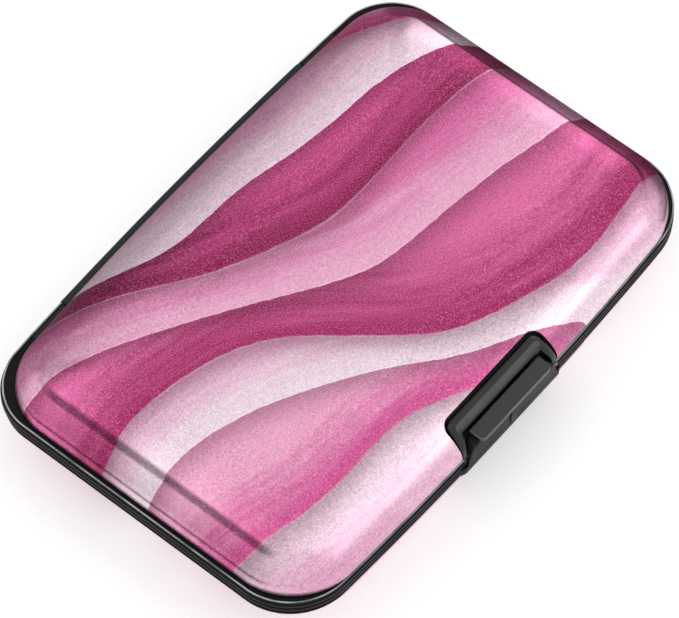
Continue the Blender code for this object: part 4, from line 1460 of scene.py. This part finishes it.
@dataclass
class Hood:
    """The lid's hood over the latch.

    It is a bowed strip that runs up one side of the notch, along its inner edge and
    down the other side.

    Attributes:
        gap: Gap to the cover's edge.
        proud: How far it swells above the cover's own curve.
        reach: How far in from the cover's rim the swell is at its full height.
        slot_y: Y of its front lip.
        half_slot: Half the length of that lip.
        half_mouth: Half the width of the mouth at the wall.
        mouth_corner: Radius of the mouth's inner corners.
        front: Y where its ends stop, at the wall.
        lip: Thickness of the lip.
        room: Depth of the room under the lip.
        dip: How far it dips towards the cover's edge.
        dip_width: Width over which it dips.
        full_width: Width of strip from which the dip has its full depth.
        edge: Radius of its edges.
        roll: Radius of the cheeks' edges at the mouth.
        foot: Height of its underside.
        lanes: Points across the strip between its edges.
        catch: Section of the rib that the hook catches under, as (y, height).
        half_catch: Half the rib's length.
    """

    gap: float = 0.25
    proud: float = 0.42
    reach: float = 2.1
    slot_y: float = -34.75
    half_slot: float = 10.62
    half_mouth: float = 11.9
    mouth_corner: float = 0.35
    front: float = -37.0
    lip: float = 0.95
    room: float = 1.0
    dip: float = 1.85
    dip_width: float = 1.9
    full_width: float = 2.5
    edge: float = 0.14
    roll: float = 0.55
    foot: float = 0.2
    lanes: int = 16
    catch: tuple[tuple[float, float], ...] = ((-34.35, 2.45), (-33.6, 2.3), (-33.6, 3.3), (-34.35, 3.15))
    half_catch: float = 10.9

    def height(self, y: np.ndarray) -> np.ndarray:
        """Height of its crown: the cover's side profile and a swell that fades at the rim."""
        inset = np.maximum(y + FORM.outline.front, 0.0)
        return FORM.height(inset) + self.proud * np.minimum(1.0, inset / self.reach)

    def lines(self) -> tuple[np.ndarray, np.ndarray]:
        """Plan of its two edges.

        Returns:
            The edge along the cover, and the one along the slot and the mouth.
        """
        outer = NOTCH.path(self.gap)
        mouth = self.half_mouth, self.slot_y, NOTCH.mouth, self.mouth_corner
        inner = corner_path(self.half_slot, *mouth)
        for line in (outer, inner):
            line[:, 1] = np.maximum(line[:, 1], self.front)
        return outer, inner

    def shape(self) -> Shape:
        """The strip, as a section carried along the notch.

        Across the strip the height is the crown's, less a quarter ellipse that rises from
        the cover's edge and a small quarter round at each edge. Along the back the section
        ends in a thin lip with room for the hook under it.

        Returns:
            The closed shape.
        """
        outer, inner = self.lines()
        span = inner - outer
        width = np.linalg.norm(span, axis=1)[:, None]
        back = np.isclose(inner[:, 1], self.slot_y, atol=0.02)
        roll = np.where(back, self.edge, self.roll)[:, None]
        away, fall = (1 - np.cos(quarter(5)))[None, :], (1 - np.sin(quarter(5)))[None, :]
        lanes = self.edge + (width - self.edge - roll) * between(0, 1, self.lanes)[None, :]
        across = [self.edge * away + 0 * width, lanes, width - roll * away[:, ::-1]]
        across = np.concatenate(across, axis=1)
        drop = [self.edge * fall + 0 * width, 0 * lanes, roll * fall[:, ::-1]]
        drop = np.concatenate(drop, axis=1)
        plan = outer[:, None, :] + span[:, None, :] * (across / width)[..., None]
        share = np.clip(across / np.minimum(self.dip_width, width * 0.75), 0.0, 1.0)
        dip = self.dip * np.minimum(1.0, width / self.full_width) * (1 - np.sqrt(share * (2 - share)))
        top = self.height(plan[..., 1]) - drop - dip
        low = np.where(back, top[:, -1] - self.lip, self.foot)
        tail = inner + np.where(back[:, None], (0.0, self.room), np.sign(outer[:, :1]) * (0.02, 0.0))
        rings = [
            np.insert(outer, 2, self.foot, axis=1)[:, None],
            np.concatenate([plan, top[..., None]], axis=-1),
            np.column_stack([inner, low + 0.02])[:, None],
            np.column_stack([tail, low])[:, None],
            np.insert(tail, 2, self.foot - 0.02, axis=1)[:, None],
        ]
        return Shape.loft(np.concatenate(rings, axis=1))

    def build(self, wardrobe: Wardrobe) -> None:
        """Makes the hood and the rib that the hook catches under."""
        wardrobe.place(self.shape().make("latch_hood", sharp=40.0), SATIN, "lid")
        rib = prism(np.array(self.catch), 0, -self.half_catch, self.half_catch)
        wardrobe.place(rib.make("catch_rib"), BLACK, "lid")


@dataclass
class LowerLatchBlock:
    """The block that fills the lower cover's notch, flush with the cover's own curve.

    Attributes:
        gap: Gap to the cover's edge.
        front: Y where it stops, at the wall.
        spine_y: Y of its middle line.
        half_spine: Half the length of that line.
        edge: Radius of its edges.
        foot: Height of its underside.
        sink: How far its top lies below the hood's curve.
    """

    gap: float = 0.25
    front: float = -37.3
    spine_y: float = -34.6
    half_spine: float = 9.5
    edge: float = 0.3
    foot: float = 0.2
    sink: float = 0.02

    def shape(self) -> Shape:
        """Rings from the notch's plan towards its long middle line, at the cover's height.

        A ring's point is the middle line's point plus a share of the way out to the
        plan, and the height drops by a quarter round near the plan.

        Returns:
            The closed shape.
        """
        plan = NOTCH.path(self.gap)
        front = np.stack([plan[-1, 0] * between(1, -1, 60), np.full(60, NOTCH.mouth)], 1)
        plan = np.concatenate([plan, front])
        plan[:, 1] = np.maximum(plan[:, 1], self.front)
        along = np.clip(plan[:, 0], -self.half_spine, self.half_spine)
        spine = np.stack([along, np.full(len(plan), self.spine_y)], 1)
        out = plan - spine
        reach = np.linalg.norm(out, axis=1)
        steps = []
        for turn in quarter(6):
            steps.append((1 - self.edge * (1 - np.cos(turn)) / reach, self.edge * (1 - np.sin(turn))))
        for share in np.linspace(0.85, 0.03, 14):
            steps.append((np.full(len(plan), share), 0.0))
        rings = [np.insert(plan, 2, self.foot, axis=1)]
        for share, drop in steps:
            ring = spine + out * share[:, None]
            rings.append(np.insert(ring, 2, Hood().height(ring[:, 1]) - drop - self.sink, axis=1))
        return Shape.loft(np.stack(rings))

    def build(self, wardrobe: Wardrobe) -> None:
        """Makes the block."""
        wardrobe.place(self.shape().make("lower_latch_block", Half.BASE, sharp=40.0), SATIN, "base")


@dataclass
class Boss:
    """The base's latch boss, which stands up into the mouth of the hood.

    Attributes:
        face_y: Y of its front face.
        rear_y: Y of its rear above the step.
        step_y: Y of its rear below the step.
        top: Height of its top.
        step: Height of the step.
        foot: Height of its foot, on the panel.
        shoulder: Radius of its shoulders.
        half_foot: Half its width at the foot.
        taper: How much narrower each side is for each millimetre of height.
        rear_taper: Share by which it is narrower at the rear than at the front.
        floor: Height of the underside of the frame's wall.
        half_well: Half the length of the well that the button stands in.
        well: Y of the well's front and rear.
        well_floor: Height of its floor.
        half_rear: Half the length of the low wall behind.
        half_panel: Half the length of the panel below.
        panel_rear: Y of the panel's rear.
        half_rib: Half the width of the rib on its face.
        rib_top: Height of that rib.
    """

    face_y: float = -37.45
    rear_y: float = -35.35
    step_y: float = -34.2
    top: float = 4.5
    step: float = 1.6
    foot: float = -0.2
    shoulder: float = 1.1
    half_foot: float = 12.8
    taper: float = 0.274
    rear_taper: float = 0.06
    floor: float = -2.05
    half_well: float = 8.6
    well: tuple[float, float] = (-36.95, -34.75)
    well_floor: float = -1.6
    half_rear: float = 11.6
    half_panel: float = 13.85
    panel_rear: float = -35.2
    half_rib: float = 0.8
    rib_top: float = 3.6

    def block(self) -> Shape:
        """Upper block: rounded rectangles that narrow with height and by a round at the shoulders.

        Returns:
            The closed shape.
        """
        rings = []
        steps = [(height, 0.0) for height in np.linspace(self.foot, self.top - self.shoulder, 6)]
        for turn in quarter(12)[1:]:
            steps.append((self.top - self.shoulder * (1 - math.sin(turn)), 1 - math.cos(turn)))
        for height, narrow in steps:
            half = self.half_foot - (height - self.floor) * self.taper - self.shoulder * narrow
            setback = 0.35 * narrow
            plan = rounded_rectangle(half, self.face_y + setback, self.rear_y, 0.3)
            depth = (plan[:, 1] - self.face_y) / (self.rear_y - self.face_y)
            plan[:, 0] *= 1 - self.rear_taper * depth
            rings.append(np.insert(plan, 2, height, axis=1))
        return Shape.loft(np.stack(rings))

    def build(self, wardrobe: Wardrobe) -> None:
        """Makes the boss with its well, the low wall behind it, the panel below and the rib."""
        upper = self.block().make("latch_boss", sharp=40.0)
        rear = self.rear_y - 0.4, self.step_y, 0.1, self.floor + 0.15, self.step, 0.1
        lower = rounded_slab(self.half_rear, *rear).make("latch_boss_rear")
        well = box_section(*self.well, self.well_floor, 2 * self.top)
        for obj in (upper, lower):
            carve(obj, [prism(well, 0, -self.half_well, self.half_well).make("well")], sharp=40.0)
            wardrobe.place(obj, BLACK, "base")
        panel = self.face_y, self.panel_rear, 1.5, self.floor + 0.09, self.foot - 0.03, 0.06, 0.3
        wardrobe.place(rounded_slab(self.half_panel, *panel).make("boss_panel"), BLACK, "base")
        rib = self.face_y - 0.2, self.face_y + 0.4, 0.12, -0.6, self.rib_top, 0.1
        wardrobe.place(rounded_slab(self.half_rib, *rib).make("boss_rib"), BLACK, "base")


@dataclass
class LatchButton:
    """The finger plate, its stem with the hook, and its turning heel.

    Attributes:
        half_length: Half the plate's length.
        outer: Y of the plate's outer edge.
        inner: Y of its inner edge.
        top: Height of its top.
        thickness: Thickness of the plate.
        corner: Radius of its front corners.
        rear_corner: Radius of its rear corners.
        edge: Radius of its edges.
        stem_inner: Y of the stem's rear face.
        stem: Thickness of the stem.
        half_stem: Half the stem's length.
        stem_top: Height of the stem's top, inside the plate.
        hook: How far the hook stands out from the stem's rear face.
        hook_heights: Heights of the hook's underside, of its tip's top and of its root's top.
        pivot: Height of the pivot.
        bore: Radius of the bore for the pin.
        heel: Radius of the heels round the pin.
        heel_ends: Distances of a heel's ends from the middle, with the spring between the heels.
    """

    half_length: float = 9.45
    outer: float = -38.3
    inner: float = -35.2
    top: float = 6.0
    thickness: float = 1.0
    corner: float = 0.95
    rear_corner: float = 0.25
    edge: float = 0.18
    stem_inner: float = -35.35
    stem: float = 1.0
    half_stem: float = 8.3
    stem_top: float = 5.5
    hook: float = 0.85
    hook_heights: Triple = (3.3, 3.7, 4.3)
    pivot: float = -0.5
    bore: float = 0.55
    heel: float = 0.9
    heel_ends: tuple[float, float] = (2.0, 8.15)

    def build(self, wardrobe: Wardrobe) -> None:
        """Makes the plate and the stem."""
        low = self.top - self.thickness
        size = self.outer, self.inner, self.corner, low, self.top, self.edge, self.rear_corner
        plate = rounded_slab(self.half_length, *size).make("finger_plate", sharp=40.0)
        wardrobe.place(plate, PLATE, "button", ("latch_button",))
        rear = self.stem_inner
        front, middle, tip = rear - self.stem, rear - self.stem / 2, rear + self.hook
        under, tip_top, root = self.hook_heights
        line = [(front, self.pivot), (rear, self.pivot), (rear, under), (tip, under), (tip, tip_top)]
        line += [(rear, root), (rear, self.stem_top), (front, self.stem_top)]
        stem = prism(np.array(line), 0, -self.half_stem, self.half_stem).make("button_stem")
        inner, outer = self.heel_ends
        room = box_section(middle - 1.6, middle + 1.6, self.pivot - 1.6, self.pivot + 1.2)
        carve(stem, [prism(room, 0, -inner, inner).make("spring_room"), self.pin_hole(middle)])
        wardrobe.place(stem, BLACK, "button")
        for side, word in SIDES:
            ends = sorted((side * inner, side * outer))
            heel = rod(self.heel, *ends, middle, self.pivot).make("button_heel_" + word)
            carve(heel, [self.pin_hole(middle)])
            wardrobe.place(heel, BLACK, "button")

    def pin_hole(self, y: float) -> bpy.types.Object:
        """Cutter for the pin's bore at that Y."""
        return rod(self.bore, -9.0, 9.0, y, self.pivot).make("pin_hole")


@dataclass
class PocketFan:
    """The fan of card pockets: clear leaves joined by pleats at both ends and the rear.

    Attributes:
        count: Number of leaves.
        thickness: Thickness of a leaf.
        film: Thickness of a pleat.
        reach: Greatest distance of a leaf's middle from the parting plane.
        half_length: Half a leaf's length.
        front: Its reach to the front.
        rear: Its reach to the rear.
        corner: Its corner radius.
        end_cut: How much shorter the two outer leaves are.
        side_cut: How much narrower they are.
        pleat_gap: Gap between a pleat and a leaf.
        end_fold: How far a pleat folds in at the ends.
        rear_fold: How far it folds in at the rear.
        stop: Y where a pleat's ends stop.
        bodies: Bodies that the leaves ride on.
    """

    count: int = 7
    thickness: float = 0.3
    film: float = 0.18
    reach: float = 5.35
    half_length: float = 46.2
    front: float = 30.3
    rear: float = 28.8
    corner: float = 6.5
    end_cut: float = 2.1
    side_cut: float = 1.5
    pleat_gap: float = 0.12
    end_fold: float = 3.1
    rear_fold: float = 2.0
    stop: float = -4.0
    bodies: tuple[str, ...] = ("base", *(f"leaf_{number}_body" for number in range(2, 8)))

    def size(self, index: int) -> tuple[float, float, float]:
        """Size of a leaf.

        Args:
            index: Its number, from 0.

        Returns:
            Its half length, and its reach to the front and to the rear.
        """
        outer = index in (0, self.count - 1)
        side = self.side_cut * outer
        return self.half_length - self.end_cut * outer, self.front - side, self.rear - side

    def level(self, index: int) -> float:
        """Height of a leaf's middle above the parting plane."""
        return -self.reach + 2 * self.reach * index / (self.count - 1)

    def leaf(self, index: int) -> Shape:
        """A leaf: a thin slab with rounded corners and edges.

        Args:
            index: Its number, from 0.

        Returns:
            The closed shape.
        """
        half, front, rear = self.size(index)
        low = self.level(index) - self.thickness / 2
        return rounded_slab(half, -front, rear, self.corner, low, low + self.thickness, 0.1)

    def pleat(self, index: int) -> Shape:
        """A pleat: a folded section carried round both ends and the rear.

        The section's middle line runs from the lower leaf's edge in to the fold and
        out to the upper leaf's edge, with the fold as a small arc, and has half the
        film's thickness on each side.

        Args:
            index: Number of the leaf below, from 0.

        Returns:
            The closed shape.
        """
        low = self.level(index) + self.thickness / 2 + self.pleat_gap + self.film / 2
        high = self.level(index + 1) - self.thickness / 2 - self.pleat_gap - self.film / 2
        share = np.linspace(0, 1, 15)
        fold = 1 - np.sqrt((2 * share - 1) ** 2 + 0.02) / math.sqrt(1.02)
        height = low + (high - low) * share
        lower, upper = self.size(index), self.size(index + 1)
        half = lower[0] + (upper[0] - lower[0]) * share - self.pleat_gap
        rear = lower[2] + (upper[2] - lower[2]) * share - self.pleat_gap
        slope = np.gradient(self.end_fold * fold, height)
        normal = np.stack([np.ones(15), slope], 1) / np.sqrt(1 + slope[:, None] ** 2)
        sections = []
        for side in (1, -1):
            shift = normal * side * self.film / 2
            ends = half - self.end_fold * fold + shift[:, 0]
            rears = rear - self.rear_fold * fold + shift[:, 0]
            sections.append(np.stack([ends, rears, height + shift[:, 1]], 1)[::side])
        ends, rears, heights = np.concatenate(sections).T
        straight = np.linspace(self.stop, float(rears.min()) - self.corner - 1, 8)
        corner = [(1 - math.cos(turn), 1 - math.sin(turn)) for turn in quarter(12)]
        right = [(ends, np.full(len(ends), y)) for y in straight]
        right += [(ends - self.corner * across, rears - self.corner * back) for across, back in corner]
        rings = [np.stack([-x, y, heights], 1) for x, y in right]
        rings += [np.stack([x, y, heights], 1) for x, y in right[::-1]]
        return Shape.loft(np.stack(rings))

    def build(self, wardrobe: Wardrobe) -> None:
        """Makes the leaves and pleats. A leaf rides on its body; a pleat stays where it is made, between
        its two leaves.
        """
        for index in range(self.count):
            obj = self.leaf(index).make(f"pocket_leaf_{index + 1}")
            wardrobe.place(obj, FILM, self.bodies[index], (f"leaf_{index + 1}",))
        for index in range(self.count - 1):
            obj = self.pleat(index).make(f"pocket_pleat_{index + 1}", sharp=60.0)
            wardrobe.dress(obj, FILM)
            low = (PARTING + self.level(index) + self.thickness / 2) * METRES
            high = (PARTING + self.level(index + 1) - self.thickness / 2) * METRES
            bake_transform(obj)
            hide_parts(f"pleat_{index + 1}")
            LOG.info("%s: between %s and %s", obj.name, self.bodies[index], self.bodies[index + 1])


@dataclass
class CarriedNodes:
    """Nodes whose own shape is right, which only get a finish.

    Attributes:
        finishes: Each finish with the names of its nodes.
    """

    finishes: tuple[tuple[Finish, tuple[str, ...]], ...] = (
        (STEEL, ("hinge_pin", "latch_pin", "latch_spring")),
        (TAPE, ("lower_tape", "upper_tape")),
        (FOAM, ("lower_cover_pad", "upper_cover_pad")),
    )

    def build(self, wardrobe: Wardrobe) -> None:
        """Dresses the nodes."""
        for finish, names in self.finishes:
            for name in names:
                wardrobe.dress(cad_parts[name], finish)
                LOG.info("%s: %s", name, finish.name)


# The studio


def from_case(elevation: float, azimuth: float, distance: float) -> Vector:
    """Point seen from the middle of the case.

    Args:
        elevation: Its angle above the floor in degrees.
        azimuth: Its angle round the case in degrees, from +X towards +Y.
        distance: Its distance in metres.

    Returns:
        The point.
    """
    up, round_about = math.radians(elevation), math.radians(azimuth)
    flat = math.cos(up)
    way = Vector((flat * math.cos(round_about), flat * math.sin(round_about), math.sin(up)))
    return Vector((0.0, 0.0, PARTING * METRES)) + way * distance


@dataclass(frozen=True)
class Lamp:
    """A square soft box that faces the case.

    Attributes:
        name: The light's name.
        elevation: Its angle above the floor in degrees, seen from the case.
        azimuth: Its angle round the case in degrees, from +X towards +Y.
        size: Length of its side in metres.
        strength: Its brightness, where the white surround has 1.
        distance: Distance from the case in metres.
    """

    name: str
    elevation: float
    azimuth: float
    size: float
    strength: float
    distance: float = 1.0

    def build(self) -> None:
        """Makes the light. Its watts are its brightness times pi times its area."""
        data = bpy.data.lights.new(self.name, "AREA")
        data.shape = "SQUARE"
        data.size = self.size
        data.energy = self.strength * math.pi * self.size**2
        obj = add_object(self.name, data)
        obj.location = from_case(self.elevation, self.azimuth, self.distance)
        obj.rotation_euler = (-obj.location).to_track_quat("-Z", "Y").to_euler()


@dataclass(frozen=True)
class Card:
    """A dark card that stands on the floor to give the gloss something dark to mirror.

    It shows in reflections only, so it shades nothing and hides nothing from the camera.

    Attributes:
        name: The card's name.
        start: One end of its foot as (x, y) in metres.
        end: The other end.
        height: Its height in metres.
        foot: Its grey at the foot.
        top: Its grey at the top.
    """

    name: str
    start: tuple[float, float]
    end: tuple[float, float]
    height: float
    foot: float = 0.02
    top: float = 0.02

    def build(self) -> None:
        """Makes the card."""
        corners = [(*foot, 0.0) for foot in (self.start, self.end)]
        corners += [(*foot, self.height) for foot in (self.end, self.start)]
        material, nodes, shader = matt(self.name, (self.top,) * 3, 0.1)
        height = nodes.split(nodes.add("ShaderNodeTexCoord").outputs["Object"])[2]
        share = nodes.ramp(height, 0.0, self.height)
        colour = nodes.mix(share, (self.foot,) * 3, (self.top,) * 3)
        nodes.feed(shader.inputs["Base Color"], colour)
        obj = stage_sheet(self.name, corners, material)
        obj.visible_camera = obj.visible_diffuse = obj.visible_shadow = False


def stage_sheet(name: str, corners: list[Triple], material: bpy.types.Material) -> bpy.types.Object:
    """Flat sheet of the studio, which isn't part of the object.

    Args:
        name: Its name.
        corners: Its four corners in order, in metres.
        material: Its material.

    Returns:
        The sheet.
    """
    mesh = bpy.data.meshes.new(name)
    mesh.from_pydata(corners, [], [[0, 1, 2, 3]])
    mesh.materials.append(material)
    obj = add_object(name, mesh)
    obj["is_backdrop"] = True
    return obj


def matt(name: str, colour: Colour, spread: float) -> tuple[bpy.types.Material, Nodes, bpy.types.Node]:
    """Matt paper or card with a faint mottle.

    Args:
        name: The material's name.
        colour: Its colour.
        spread: Share by which the mottle lightens it.

    Returns:
        The material, its nodes and its shader.
    """
    material, nodes, shader = new_material(name)
    shader.inputs["Roughness"].default_value = 0.9
    shader.inputs["Specular IOR Level"].default_value = 0.1
    where = nodes.add("ShaderNodeTexCoord").outputs["Object"]
    light = tuple(value * (1 + spread) for value in colour)
    nodes.feed(shader.inputs["Base Color"], nodes.mix(nodes.noise(where, 900.0), colour, light))
    return material, nodes, shader


@dataclass
class Studio:
    """Camera, soft boxes, dark cards, a plain white floor and a white surround.

    Attributes:
        eye: Where the camera stands, in metres.
        aim: The point at the middle of its picture.
        lens: Focal length for a sensor 36 mm wide.
        sky: Strength of the even light from all round.
        glow: Strength at which the floor itself shows white.
        lamps: The soft boxes.
        cards: The dark cards.
        half_floor: Half the floor's side in metres.
    """

    eye: Triple = (-0.341383, -0.279581, 0.737667)
    aim: Triple = (-0.002955, -0.001636, 0.01205)
    lens: float = 261.29
    sky: float = 0.8
    glow: float = 0.38
    lamps: tuple[Lamp, ...] = (
        Lamp("left_box", 58.0, 132.0, 0.5, 0.45),
        Lamp("front_box", 45.0, -56.0, 0.34, 1.7),
        Lamp("right_box", 30.0, 20.0, 0.34, 0.9),
    )
    cards: tuple[Card, ...] = (
        Card("left_card", (-0.12, -0.035), (-0.12, 0.08), 0.045, foot=0.12, top=0.12),
        Card("right_card", (0.064, -0.05), (0.064, 0.06), 0.0165, foot=0.1, top=0.1),
        Card("rear_card", (-0.07, 0.045), (0.1, 0.045), 0.019, foot=0.65, top=0.65),
        Card("far_card", (-0.1, 0.3), (0.4, 0.3), 0.38, foot=0.3, top=1.0),
    )
    half_floor: float = 4.0

    def camera(self) -> None:
        """Sets the camera at the photograph's viewing angle, level."""
        data = bpy.data.cameras.new("camera")
        data.sensor_width = 36.0
        data.lens = self.lens
        data.clip_start, data.clip_end = 0.05, 20.0
        obj = add_object("camera", data)
        obj.location = self.eye
        obj.rotation_euler = (Vector(self.aim) - Vector(self.eye)).to_track_quat("-Z", "Y").to_euler()
        bpy.context.scene.camera = obj

    @staticmethod
    def seen(nodes: Nodes) -> Socket:
        """Tells the rays that see the background from those that light the object.

        Args:
            nodes: The nodes of a material or of the world.

        Returns:
            1 for rays from the camera, from gloss and through clear pieces, and else 0.
        """
        path = nodes.add("ShaderNodeLightPath")
        direct = nodes.math("ADD", path.outputs["Is Camera Ray"], path.outputs["Is Glossy Ray"])
        return nodes.math("ADD", direct, path.outputs["Is Transmission Ray"], clamp=True)

    def floor(self) -> None:
        """Lays the floor just under the case, self-lit where it is seen so that it shows white."""
        material, nodes, shader = matt("white_paper", (0.85, 0.85, 0.85), 0.03)
        shader.inputs["Emission Color"].default_value = (1.0, 1.0, 1.0, 1.0)
        strength = nodes.math("MULTIPLY", self.seen(nodes), self.glow)
        nodes.feed(shader.inputs["Emission Strength"], strength)
        signs = ((-1, -1), (1, -1), (1, 1), (-1, 1))
        corners = [(x * self.half_floor, y * self.half_floor, -0.02 * METRES) for x, y in signs]
        stage_sheet("floor", corners, material)

    def surround(self) -> None:
        """Makes the world: white where it is seen, and a little dimmer as a light."""
        world = bpy.data.worlds.new("studio")
        bpy.context.scene.world = world
        world.use_nodes = True
        nodes = Nodes(world.node_tree)
        back = world.node_tree.nodes["Background"]
        back.inputs["Color"].default_value = (1.0, 1.0, 1.0, 1.0)
        nodes.feed(back.inputs["Strength"], nodes.ramp(self.seen(nodes), 0.0, 1.0, self.sky, 1.0))

    def build(self) -> None:
        """Makes the whole studio."""
        self.camera()
        self.floor()
        self.surround()
        for piece in (*self.lamps, *self.cards):
            piece.build()
        bpy.context.scene.view_settings.view_transform = "Standard"


def write_sizes() -> None:
    """Works out the CAD model's box and the visual model's box as plain lists, which it neither keeps
    nor writes.
    """
    boxes = {"cad": CAD_BOX, "visual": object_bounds()}
    boxes = {name: [list(corner) for corner in box] for name, box in boxes.items()}


def main() -> None:
    """Builds the studio and every piece of the card holder."""
    logging.basicConfig(level=logging.INFO, format="%(name)s %(message)s")
    wardrobe = Wardrobe()
    Studio().build()
    for half in Half:
        CoverShell(half).build(wardrobe)
        FrameMoulding(half).build(wardrobe)
    Hood().build(wardrobe)
    LowerLatchBlock().build(wardrobe)
    Boss().build(wardrobe)
    LatchButton().build(wardrobe)
    PocketFan().build(wardrobe)
    CarriedNodes().build(wardrobe)
    write_sizes()


if __name__ == "__main__":
    main()
